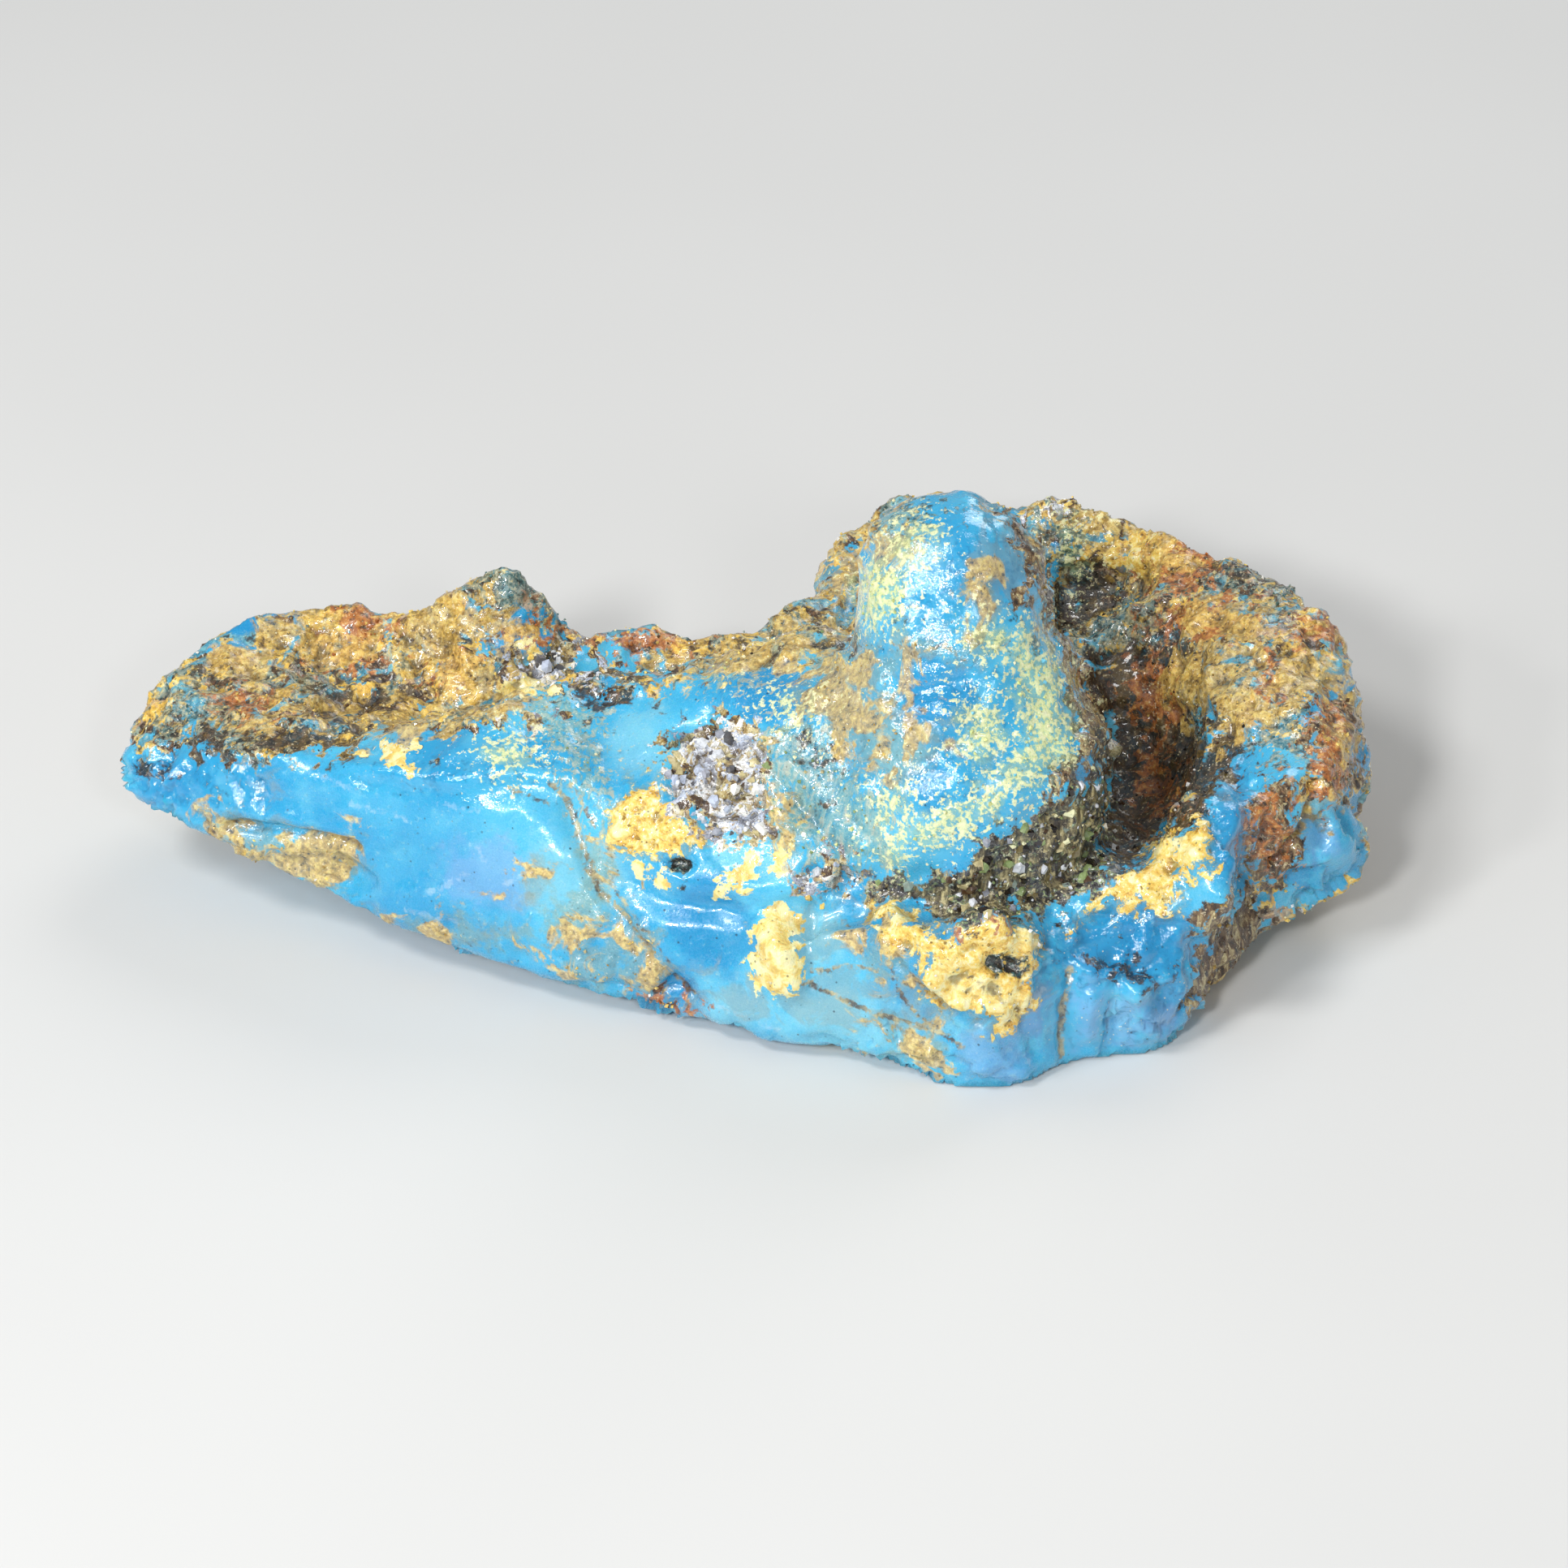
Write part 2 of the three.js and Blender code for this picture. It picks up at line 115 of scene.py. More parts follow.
# Marks on the surface by kind, in pixels of the photograph. Each mark is an outline of points, or
# a box (left, right, top, bottom) that is filled by an oval.
MARKS = {
    "crust": [
        [(140, 925), (165, 919), (209, 917), (254, 917), (307, 933), (352, 937), (397, 933), (432, 926),
         (448, 908), (477, 895), (522, 888), (542, 908), (584, 901), (615, 888), (647, 866), (696, 852),
         (760, 848), (830, 846), (890, 838), (950, 822), (996, 800), (1022, 775), (1042, 700), (1082, 622),
         (1140, 588), (1140, 540), (140, 540)],
        [(1225, 560), (1232, 625), (1262, 662), (1296, 737), (1309, 782), (1347, 827), (1366, 890),
         (1372, 960), (1365, 1040), (1420, 1050), (1475, 1000), (1500, 950), (1533, 915), (1586, 905),
         (1605, 930), (1596, 990), (1563, 1037), (1545, 1080), (1560, 1140), (1600, 1135), (1572, 1078),
         (1590, 1010), (1625, 985), (1670, 985), (1720, 960), (1720, 560)],
    ],
    "olive": [
        [(647, 870), (700, 855), (735, 870), (728, 905), (745, 940), (735, 985), (754, 1010), (735, 1020),
         (705, 960), (690, 930), (668, 905)],
        [(940, 900), (1000, 885), (1040, 930), (1080, 1000), (1100, 1060), (1060, 1085), (1000, 1050),
         (955, 1040)],
        [(845, 838), (906, 812), (970, 794), (1030, 775), (1040, 800), (990, 815), (940, 830), (890, 850)],
    ],
    "skin": [
        [(1232, 618), (1262, 642), (1292, 700), (1312, 760), (1335, 800), (1366, 850), (1372, 900),
         (1368, 970), (1335, 975), (1300, 995), (1260, 1010), (1300, 960), (1326, 900), (1324, 850),
         (1300, 800), (1282, 760), (1262, 710), (1245, 660)],
        [(1478, 1130), (1500, 1095), (1528, 1078), (1548, 1100), (1562, 1145), (1550, 1200), (1500, 1228),
         (1480, 1262), (1472, 1230), (1480, 1180)],
        (1540, 1600, 960, 1090), (1617, 1680, 865, 980),
    ],
    "teal": [
        (242, 335, 835, 904), (576, 686, 690, 745), (1314, 1430, 750, 800), (1390, 1560, 690, 748),
        (1510, 1580, 796, 860), (1549, 1590, 735, 765), (1290, 1330, 630, 700), (1520, 1570, 870, 900),
        (1550, 1600, 870, 930), (200, 245, 850, 900), (355, 410, 820, 862), (1080, 1140, 610, 640),
        (660, 720, 750, 790), (840, 900, 760, 790), (1575, 1600, 760, 800), (1440, 1480, 860, 900),
        (300, 340, 900, 930), (930, 980, 760, 775),
    ],
    "dark": [
        [(1335, 808), (1400, 788), (1457, 760), (1466, 808), (1457, 855), (1480, 905), (1520, 892),
         (1545, 900), (1525, 940), (1500, 965), (1487, 1005), (1450, 1030), (1420, 1042), (1393, 1078),
         (1375, 1092), (1362, 1060), (1360, 1019), (1354, 961), (1362, 890), (1344, 832)],
        [(1298, 700), (1340, 683), (1378, 690), (1388, 720), (1372, 752), (1330, 770), (1306, 762)],
        (225, 275, 895, 922), (328, 449, 903, 930), (387, 470, 850, 890), (1420, 1549, 690, 712),
        (836, 876, 886, 914), (702, 772, 834, 868), (1372, 1404, 1187, 1205), (250, 276, 818, 842),
        (545, 572, 772, 794), (240, 275, 1030, 1046), (1005, 1035, 780, 798), (984, 994, 905, 915),
        (999, 1011, 924, 938), (1012, 1021, 944, 955), (1024, 1033, 958, 968), (500, 530, 845, 862),
        (330, 360, 795, 812), (1484, 1500, 812, 826), (1570, 1590, 800, 812), (770, 800, 780, 800),
        (180, 196, 935, 950), (1255, 1262, 1100, 1108), (900, 925, 795, 808), (420, 445, 835, 850),
        (300, 322, 862, 876),
    ],
    # The band under the knob's overhang: grey and olive grains, painted darker in part as its shade.
    "band": [
        [(1064, 1090), (1096, 1081), (1148, 1078), (1183, 1060), (1218, 1038), (1253, 1012), (1289, 985),
         (1335, 962), (1360, 965), (1364, 1019), (1368, 1066), (1350, 1085), (1310, 1112), (1264, 1131),
         (1236, 1127), (1173, 1145), (1148, 1127), (1110, 1108), (1068, 1110)],
    ],
    "rust": [
        (418, 480, 738, 785), (396, 470, 778, 822), (1415, 1490, 672, 726), (1440, 1530, 740, 785),
        (1600, 1670, 750, 800), (1617, 1655, 880, 960), (1548, 1580, 990, 1060), (1395, 1445, 820, 900),
        (1188, 1235, 1136, 1182), (798, 832, 1236, 1256), (280, 330, 850, 880), (540, 580, 795, 845),
        (756, 832, 770, 800), (1400, 1440, 930, 990), (640, 690, 770, 790), (1545, 1575, 820, 850),
    ],
    "ochre": [
        (360, 420, 742, 775), (330, 402, 782, 812), (274, 314, 800, 830), (500, 600, 728, 795),
        (505, 600, 780, 836), (449, 520, 866, 902), (300, 380, 870, 895), (560, 620, 835, 870),
        [(254, 1008), (290, 1012), (316, 1030), (350, 1036), (396, 1046), (428, 1042), (416, 1052),
         (430, 1066), (404, 1070), (408, 1096), (392, 1080), (372, 1064), (340, 1050), (308, 1060),
         (282, 1036)],
        (682, 742, 1112, 1163), (704, 757, 1164, 1213), (758, 802, 1129, 1178), (767, 818, 1183, 1229),
        (726, 745, 1066, 1098), (649, 666, 1073, 1087),
        [(1008, 806), (1060, 802), (1093, 815), (1090, 850), (1050, 845), (1020, 870), (996, 862),
         (1012, 838)],
        [(1038, 870), (1070, 860), (1100, 872), (1118, 895), (1112, 935), (1085, 950), (1060, 930),
         (1036, 905)],
        (1108, 1154, 894, 934), (990, 1036, 768, 786), (880, 930, 800, 816), (1470, 1565, 735, 806),
        (1448, 1520, 808, 872), (1500, 1592, 845, 900), (1570, 1650, 765, 850), (1110, 1160, 795, 812),
        (1204, 1226, 708, 732), (1194, 1224, 776, 800), (1325, 1380, 618, 656), (1400, 1480, 655, 715),
        (1060, 1110, 632, 665), (1010, 1050, 690, 745), (1082, 1099, 1146, 1192), (1599, 1645, 955, 1000),
        (1620, 1680, 880, 930), (530, 590, 1143, 1153), (1106, 1139, 1290, 1312), (870, 930, 935, 965),
        (885, 925, 985, 1010), (960, 985, 1000, 1050), (1395, 1450, 640, 680),
    ],
    "gold": [
        [(1066, 1116), (1096, 1106), (1124, 1114), (1146, 1139), (1170, 1147), (1184, 1166), (1172, 1194),
         (1146, 1180), (1120, 1166), (1100, 1160), (1085, 1140)],
        [(1138, 1190), (1170, 1170), (1184, 1150), (1226, 1130), (1262, 1140), (1280, 1160), (1270, 1185),
         (1272, 1216), (1262, 1250), (1236, 1262), (1205, 1256), (1170, 1240), (1140, 1222)],
        [(1393, 1078), (1422, 1045), (1457, 1031), (1487, 1014), (1494, 1031), (1481, 1061), (1457, 1084),
         (1451, 1119), (1422, 1125), (1387, 1119), (1328, 1125), (1322, 1113), (1363, 1102)],
        [(745, 1000), (770, 975), (800, 962), (830, 985), (850, 1010), (864, 1040), (830, 1055), (800, 1050),
         (765, 1050), (742, 1030)],
        (1370, 1425, 655, 700),
    ],
    "cream": [
        [(466, 930), (478, 916), (492, 920), (508, 916), (506, 932), (514, 944), (494, 950), (478, 944)],
        (443, 459, 918, 930),
        [(934, 1117), (962, 1113), (983, 1131), (990, 1152), (984, 1180), (992, 1211), (976, 1222),
         (955, 1231), (934, 1215), (922, 1194), (931, 1166), (926, 1145)],
        [(1150, 1196), (1176, 1182), (1200, 1198), (1226, 1212), (1252, 1218), (1262, 1236), (1240, 1254),
         (1210, 1248), (1176, 1234)],
        [(896, 1074), (917, 1057), (934, 1053), (948, 1060), (969, 1050), (975, 1058), (962, 1074),
         (938, 1074), (924, 1088), (899, 1112), (890, 1108)],
        [(1244, 1136), (1258, 1142), (1272, 1158), (1262, 1172), (1250, 1160)],
        (640, 662, 776, 802), (1425, 1470, 1040, 1075), (610, 680, 836, 860),
        [(762, 1064), (790, 1066), (822, 1078), (816, 1090), (786, 1084), (762, 1076)],
        (1095, 1120, 1118, 1140), (1350, 1380, 628, 645), (745, 775, 1010, 1040),
    ],
    "lime": [
        [(1258, 780), (1284, 800), (1308, 838), (1320, 880), (1312, 925), (1284, 958), (1250, 985),
         (1200, 1010), (1140, 1036), (1104, 1056), (1090, 1034), (1130, 1012), (1190, 988), (1236, 955),
         (1262, 905), (1256, 850), (1240, 810)],
        [(1180, 874), (1208, 860), (1230, 878), (1228, 915), (1208, 938), (1184, 922)],
        [(1058, 712), (1090, 688), (1118, 700), (1110, 752), (1078, 772), (1058, 754)],
        (1128, 1150, 636, 662), (1080, 1120, 975, 1012), (606, 646, 910, 946), (1160, 1200, 1000, 1026),
        (1200, 1240, 760, 800), (960, 1000, 860, 885), (1310, 1325, 655, 690), (1110, 1140, 655, 690),
    ],
    "druse": [
        [(822, 905), (850, 885), (880, 880), (905, 893), (934, 900), (944, 925), (948, 965), (958, 1000),
         (950, 1035), (925, 1048), (890, 1040), (860, 1022), (835, 1000), (815, 960)],
        (990, 1049, 1062, 1103), (617, 720, 796, 846), (1290, 1325, 616, 640), (640, 680, 880, 905),
    ],
    # Small holes, pushed in, with their insides painted dark as their shade.
    "hole": [
        [(1222, 1178), (1236, 1170), (1254, 1176), (1262, 1192), (1252, 1204), (1234, 1204), (1222, 1194)],
        [(812, 1062), (826, 1056), (842, 1060), (850, 1074), (838, 1084), (820, 1078)],
    ],
    "deep": [
        (820, 930, 1080, 1200), (1305, 1481, 1115, 1210), (1410, 1480, 1200, 1280), (1490, 1555, 950, 1100),
        (1100, 1200, 810, 900), (880, 1010, 815, 890), (1573, 1620, 1050, 1110), (1634, 1680, 815, 870),
        (1667, 1692, 895, 962), (263, 352, 742, 800), (1617, 1650, 772, 808), (593, 690, 749, 812),
        (1280, 1308, 648, 684), (1010, 1040, 655, 730), (1323, 1350, 926, 965), (1597, 1625, 872, 931),
        (812, 860, 1199, 1256), (1100, 1180, 940, 1000), (150, 230, 925, 1000), (1255, 1300, 1180, 1290),
    ],
    "pale": [
        (845, 944, 1205, 1280), (983, 1033, 1113, 1179), (940, 1180, 1225, 1310), (740, 820, 870, 960),
        (640, 780, 1030, 1130), (1060, 1160, 640, 700),
    ],
    "lavender": [
        (1324, 1369, 1205, 1290), (1369, 1410, 1225, 1295), (1180, 1270, 1267, 1345),
        (1600, 1650, 1000, 1060), (1248, 1290, 1200, 1280), (540, 660, 1040, 1120), (1404, 1474, 1245, 1280),
    ],
    "stain": [
        (322, 346, 975, 1010), (640, 700, 1070, 1130), (1180, 1240, 1230, 1260), (1000, 1080, 1190, 1250),
        (900, 960, 1225, 1260), (860, 930, 1205, 1225), (560, 640, 1130, 1165), (1080, 1130, 1180, 1260),
        (430, 470, 1050, 1080), (990, 1060, 1120, 1160), (1190, 1290, 640, 760),
    ],
    "wet": [
        [(1035, 770), (1062, 700), (1104, 635), (1170, 600), (1232, 620), (1262, 662), (1296, 737),
         (1325, 800), (1345, 860), (1335, 930), (1290, 985), (1240, 1035), (1180, 1065), (1110, 1055),
         (1080, 1000), (1030, 940), (960, 900), (1000, 850)],
        (1230, 1490, 1105, 1300), (1480, 1570, 935, 1110), (140, 330, 900, 1010), (420, 760, 890, 985),
        (660, 740, 895, 960),
    ],
    "chipped": [
        (1230, 1490, 1105, 1310), (1480, 1570, 935, 1110), (1560, 1700, 960, 1140), (130, 330, 900, 1020),
        (1000, 1300, 1250, 1350), (600, 860, 1210, 1270),
    ],
}

# Clean blue that shows through the crust: the same kinds of mark, taken off the crust.
CLEAN = [
    (263, 352, 740, 800), (596, 688, 749, 812), (1617, 1650, 774, 808), (1634, 1680, 816, 870),
    (1280, 1308, 649, 684), (1008, 1040, 650, 735), (1597, 1625, 872, 931), (1667, 1692, 898, 962),
    (1323, 1352, 926, 966), (1471, 1505, 866, 900), (1480, 1555, 950, 1110), (1573, 1625, 1040, 1123),
    (690, 780, 790, 830), (1560, 1600, 905, 960),
]

# Thin lines, each a half width in mm and the pixels that it passes.
VEINS = [
    (0.13, (679, 966), (699, 986), (708, 1010), (712, 1032), (726, 1062), (739, 1098), (765, 1126)),
    (0.1, (699, 959), (719, 992), (732, 1019)),
    (0.13, (990, 1212), (1020, 1222), (1053, 1239), (1086, 1255), (1145, 1272), (1185, 1292)),
    (0.11, (1086, 1150), (1096, 1192), (1112, 1230), (1139, 1262)),
    (0.17, (1320, 1193), (1315, 1250), (1312, 1308)),
    (0.1, (1100, 794), (1125, 806), (1164, 794), (1190, 815)), (0.1, (626, 972), (650, 980), (680, 992)),
    (0.12, (765, 1126), (795, 1163), (815, 1199), (848, 1232), (868, 1259)),
    (0.1, (1010, 1105), (1040, 1135), (1066, 1160)), (0.1, (1190, 1200), (1230, 1228), (1262, 1262)),
    (0.09, (760, 1100), (800, 1150), (826, 1190)), (0.1, (1000, 1200), (1040, 1190), (1080, 1196)),
]

# Faint white wisps in the blue, in the same form.
WISPS = [
    (0.1, (580, 1042), (590, 1050), (600, 1065)), (0.1, (523, 1102), (550, 1092), (573, 1078)),
    (0.08, (540, 990), (590, 1000)), (0.08, (430, 990), (500, 1010)), (0.1, (500, 1120), (560, 1140)),
    (0.1, (300, 960), (330, 985)), (0.12, (1100, 1268), (1118, 1300)), (0.1, (1200, 1250), (1270, 1310)),
    (0.1, (1262, 1250), (1276, 1232), (1290, 1215)), (0.1, (1252, 1244), (1280, 1222)),
    (0.1, (880, 1240), (960, 1270)), (0.08, (380, 950), (440, 975)), (0.08, (620, 1090), (660, 1070)),
]

# Carved or raised strokes: depth in mm (negative is a groove), half width in mm, and pixels.
RELIEF = [
    (-0.3, 0.3, (700, 990), (712, 1032), (739, 1098), (765, 1126), (795, 1163), (815, 1199), (848, 1232),
     (868, 1259)),
    (-0.45, 0.25, (1320, 1193), (1315, 1250), (1312, 1308)),
    (-0.3, 0.3, (1376, 1215), (1366, 1250), (1372, 1295)), (0.3, 0.4, (1345, 1230), (1340, 1280)),
    (0.35, 0.5, (1400, 1225), (1420, 1262)), (-0.25, 0.3, (1340, 1156), (1372, 1146), (1400, 1154)),
    (0.3, 0.4, (1330, 1190), (1400, 1215), (1450, 1205)), (0.3, 0.5, (1455, 1160), (1462, 1220)),
    (-0.35, 0.7, (450, 1122)), (-0.3, 0.8, (560, 1152)), (-0.4, 0.7, (640, 1182)), (-0.35, 0.8, (760, 1228)),
    (-0.4, 0.8, (905, 1268)), (-0.35, 0.7, (1010, 1296)), (-0.4, 0.8, (1120, 1312)),
    (-0.7, 0.35, (283, 1016), (350, 1026), (434, 1044)), (0.25, 0.6, (262, 998), (340, 1006), (430, 1024)),
    (0.15, 0.7, (770, 1096), (850, 1098), (930, 1112)),
    (0.35, 0.4, (1314, 794), (1380, 770), (1440, 735), (1549, 700)),
    (-0.4, 0.35, (1330, 812), (1400, 785), (1450, 752)), (0.3, 0.3, (1330, 745), (1400, 730), (1480, 700)),
    (0.4, 0.5, (1500, 960), (1520, 1000), (1515, 1050), (1500, 1100)),
    (-0.5, 0.4, (1545, 960), (1562, 1020), (1540, 1080), (1510, 1130)), (0.3, 0.6, (1630, 790)),
    (0.5, 0.7, (1657, 842)), (0.5, 0.7, (1680, 930)), (0.5, 0.6, (1610, 900)), (0.5, 0.9, (1600, 1060)),
    (0.4, 0.8, (1640, 1050)), (0.4, 0.7, (1590, 1010)), (-0.5, 0.4, (1620, 960), (1612, 1010), (1570, 1060)),
    (0.45, 0.5, (1185, 1150), (1210, 1140), (1240, 1160)), (0.35, 0.4, (1196, 1128), (1222, 1140)),
    (0.4, 0.5, (1150, 1205), (1180, 1236), (1230, 1244)), (0.4, 0.5, (1255, 1150), (1262, 1165)),
    (0.35, 0.4, (1090, 1125), (1130, 1150), (1165, 1180)),
    (-0.4, 0.3, (1100, 1180), (1140, 1225), (1200, 1262)), (0.4, 0.6, (950, 1140), (965, 1180), (975, 1215)),
    (-0.3, 0.3, (1000, 1120), (998, 1170), (1000, 1215)), (-0.3, 0.5, (1108, 860), (1150, 850), (1190, 835)),
    (0.25, 0.8, (1160, 750)), (0.25, 0.7, (1120, 775)), (0.25, 0.8, (1165, 880)), (0.25, 0.8, (1185, 960)),
    (0.25, 0.7, (1060, 970)), (0.25, 0.6, (1150, 910)),
    (-0.25, 0.5, (1200, 1275), (1240, 1300), (1275, 1330)),
    (0.3, 0.4, (1190, 1256), (1230, 1290), (1262, 1325)),
    (-0.25, 0.3, (1250, 1225), (1262, 1260), (1280, 1300)), (-0.5, 0.6, (1400, 1196)),
    (-0.4, 0.5, (1370, 1175)), (0.3, 0.4, (430, 945), (480, 950), (560, 962), (640, 950), (700, 960)),
    (-0.3, 0.4, (300, 850), (380, 870), (460, 860)), (0.3, 0.4, (290, 885), (380, 900), (450, 890)),
    (-0.3, 0.4, (520, 850), (600, 870), (640, 850)), (0.4, 0.5, (520, 740), (560, 780), (590, 830)),
    (-0.25, 0.3, (950, 950), (990, 1000), (1040, 1050)), (0.2, 0.3, (975, 940), (1015, 990), (1065, 1045)),
]

# Where the photograph doesn't reach, each kind's field is a noise: the length of its lumps in mm,
# its octaves and its shift, then what it is multiplied by and what is added.
WILD = {
    "crust": (8, 3, 31, 3.6, 0.2),
    "skin": (6, 2, 77, 3, -0.7),
    "teal": (4, 2, 15, 3, -0.9),
    "ochre": (5, 2, 53, 3, -0.7),
    "gold": (4, 2, 41, 3, -1.5),
    "rust": (5, 2, 91, 3, -1.4),
    "dark": (4, 2, 19, 3, -1.6),
    "olive": (4, 2, 37, 3, -1.4),
    "deep": (6, 2, 27, 3, -0.6),
    "pale": (7, 2, 63, 3, -0.8),
    "stain": (4, 2, 71, 3, -1.0),
    "druse": (5, 2, 83, 3, -2.0),
}


def srgb(r, g, b):
    """A colour named in everyday 0 to 255 numbers, as Blender's linear light."""
    line = [v / 255 for v in (r, g, b)]
    return tuple(v / 12.92 if v <= 0.04045 else ((v + 0.055) / 1.055) ** 2.4 for v in line) + (1.0,)


SKY, NAVY, DEEP, MARINE = srgb(112, 200, 226), srgb(10, 74, 118), srgb(20, 138, 194), srgb(20, 104, 150)
PALE, LAVENDER, INK = srgb(160, 214, 220), srgb(128, 172, 222), srgb(30, 60, 80)
OCHRE, GOLD, TAN = srgb(172, 140, 68), srgb(226, 192, 102), srgb(206, 192, 142)
CREAM, BUTTER, PEACH = srgb(252, 244, 196), srgb(246, 214, 116), srgb(206, 172, 146)
RUST, UMBER, SOOT = srgb(170, 98, 42), srgb(80, 56, 34), srgb(22, 18, 15)
TEAL, SLATE = srgb(66, 108, 106), srgb(140, 156, 146)
LIME, MOSS = srgb(222, 228, 150), srgb(140, 160, 104)
ICE, PEWTER, STEEL = srgb(232, 236, 242), srgb(166, 170, 182), srgb(84, 84, 88)
WHITE, LILAC = srgb(250, 248, 240), srgb(196, 206, 226)
STAIN, HALO, VEIL = srgb(146, 138, 112), srgb(146, 152, 104), srgb(166, 200, 160)
# A dark fleck, a pale fleck that is a painted glint, and the painted shade of the crust's hollows.
FLECK, GLINT, HOLLOW_SHADE = srgb(48, 36, 24), srgb(250, 236, 196), srgb(44, 30, 20)
BARK, PEAT, SAGE = srgb(120, 94, 62), srgb(92, 58, 34), srgb(120, 108, 70)

# Palettes over a noise, which lies mostly between 0.3 and 0.7: places on it, each with a colour.
BLUES = (0.36, srgb(38, 158, 208)), (0.5, srgb(58, 174, 218)), (0.62, srgb(84, 190, 226))
SANDY = (0.36, UMBER), (0.43, OCHRE), (0.52, GOLD), (0.62, TAN)
GREYISH = (0.37, SOOT), (0.44, TEAL), (0.52, SLATE), (0.62, srgb(176, 192, 166))
BROWNISH = (0.4, SOOT), (0.5, UMBER), (0.6, srgb(136, 98, 54)), (0.68, TAN)
BLUISH = (0.36, TEAL), (0.46, srgb(72, 156, 186)), (0.6, srgb(130, 196, 204))
YELLOWISH = (0.36, OCHRE), (0.44, srgb(230, 182, 70)), (0.54, srgb(250, 214, 104)), (0.64, CREAM)
SKIN = (0.34, SOOT), (0.44, UMBER), (0.54, srgb(132, 106, 70)), (0.66, TAN)
TEALS = (0.34, SOOT), (0.44, TEAL), (0.56, SLATE), (0.68, TAN)
DARKS = (0.4, SOOT), (0.5, srgb(46, 32, 22)), (0.6, UMBER), (0.7, srgb(120, 80, 48))
RUSTS = (0.34, UMBER), (0.44, RUST), (0.56, srgb(200, 124, 54)), (0.68, srgb(228, 172, 92))
OCHRES = (0.36, UMBER), (0.42, OCHRE), (0.5, srgb(214, 174, 84)), (0.58, BUTTER)
GOLDS = (0.37, srgb(178, 132, 48)), (0.44, srgb(230, 186, 80)), (0.52, srgb(246, 216, 112)), (0.62, CREAM)
CREAMS = (0.36, GOLD), (0.44, BUTTER), (0.54, srgb(252, 238, 168)), (0.68, CREAM)
LIMES = (0.34, MOSS), (0.48, LIME), (0.66, srgb(246, 246, 196))
OLIVES = (0.34, TEAL), (0.44, srgb(110, 156, 150)), (0.54, srgb(150, 176, 150)), (0.64, TAN)
PLATES = (0.12, UMBER), (0.2, PEWTER), (0.35, LILAC), (0.5, ICE), (0.7, WHITE), (0.85, TAN)
MATRIX = (0.4, UMBER), (0.52, OCHRE), (0.64, TAN)
SWIRL_AND_SHADE = (0.36, SOOT), (0.45, srgb(70, 62, 46)), (0.54, srgb(130, 120, 84)), (0.64, TAN)
GLINTS = (0.4, SOOT), (0.52, STEEL), (0.62, MOSS), (0.7, ICE)
HOLE_AND_SHADE = (0.4, SOOT), (0.5, srgb(36, 62, 66)), (0.58, TEAL), (0.68, ICE)
VEIN = (0.4, UMBER), (0.6, TAN)
FLOOR_TINTS = (0.3, srgb(216, 216, 214)), (0.7, srgb(221, 221, 219))

# What small grains of each kind of crust are coloured like. A later kind lies over an earlier one.
GRAINS = {
    "crust": [TAN, GOLD, BUTTER, SLATE, WHITE, CREAM],
    "olive": [TAN, MOSS, SLATE, SKY, CREAM, LIME],
    "skin": [UMBER, TAN, BARK, SLATE, OCHRE],
    "teal": [TEAL, SLATE, SLATE, TAN, TEAL],
    "dark": [SOOT, UMBER, SOOT, PEAT, UMBER, WHITE],
    "rust": [RUST, UMBER, GOLD, RUST],
    "ochre": [GOLD, OCHRE, TAN, BUTTER],
    "gold": [GOLD, BUTTER, CREAM, OCHRE],
    "band": [SOOT, STEEL, PEWTER, MOSS, UMBER, TAN, CREAM, SLATE, ICE, SAGE],
    "druse": [ICE, WHITE, ICE, LILAC, TAN, PEWTER, WHITE, STEEL],
    "cream": [CREAM, WHITE, BUTTER],
    "lime": [LIME, LIME, CREAM, SKY],
}

# The scattered solids: their number, the smallest and largest half width in mm, the share of it
# that they are sunk by, the seed, and the material's name, roughness and coat.
SCATTERED = {
    "crust_grains": (8000, 0.05, 0.13, 0.3, 7, "grains", 0.35, 0.3),
    "druse_crystals": (700, 0.06, 0.3, 0.7, 11, "crystals", 0.15, 0.6),
}

OCTAHEDRON = (
    np.array([(1, 0, 0), (-1, 0, 0), (0, 1, 0), (0, -1, 0), (0, 0, 1), (0, 0, -1)], dtype=float),
    [(0, 2, 4), (2, 1, 4), (1, 3, 4), (3, 0, 4), (2, 0, 5), (1, 2, 5), (3, 1, 5), (0, 3, 5)],
)

# The lamps: name, azimuth and elevation in degrees, width in m, and watts.
LAMPS = (
    ("key", -22, 36, 0.06, 0.66),
    ("key_left", -50, 34, 0.05, 0.26),
    ("key_right", 14, 34, 0.05, 0.16),
    ("top_left", -60, 56, 0.1, 0.5),
    ("rim", 150, 40, 0.2, 0.34),
)
LAMP_DISTANCE = 0.38  # m, from the spot that the lamps point at
LAMP_TARGET = (0.004, -0.006, 0.012)
STUDIO_COLOUR, STUDIO_STRENGTH = (0.95, 0.97, 1, 1), 0.3
FLOOR_HALF, FLOOR_DROP = 2.5, 0.0001  # m


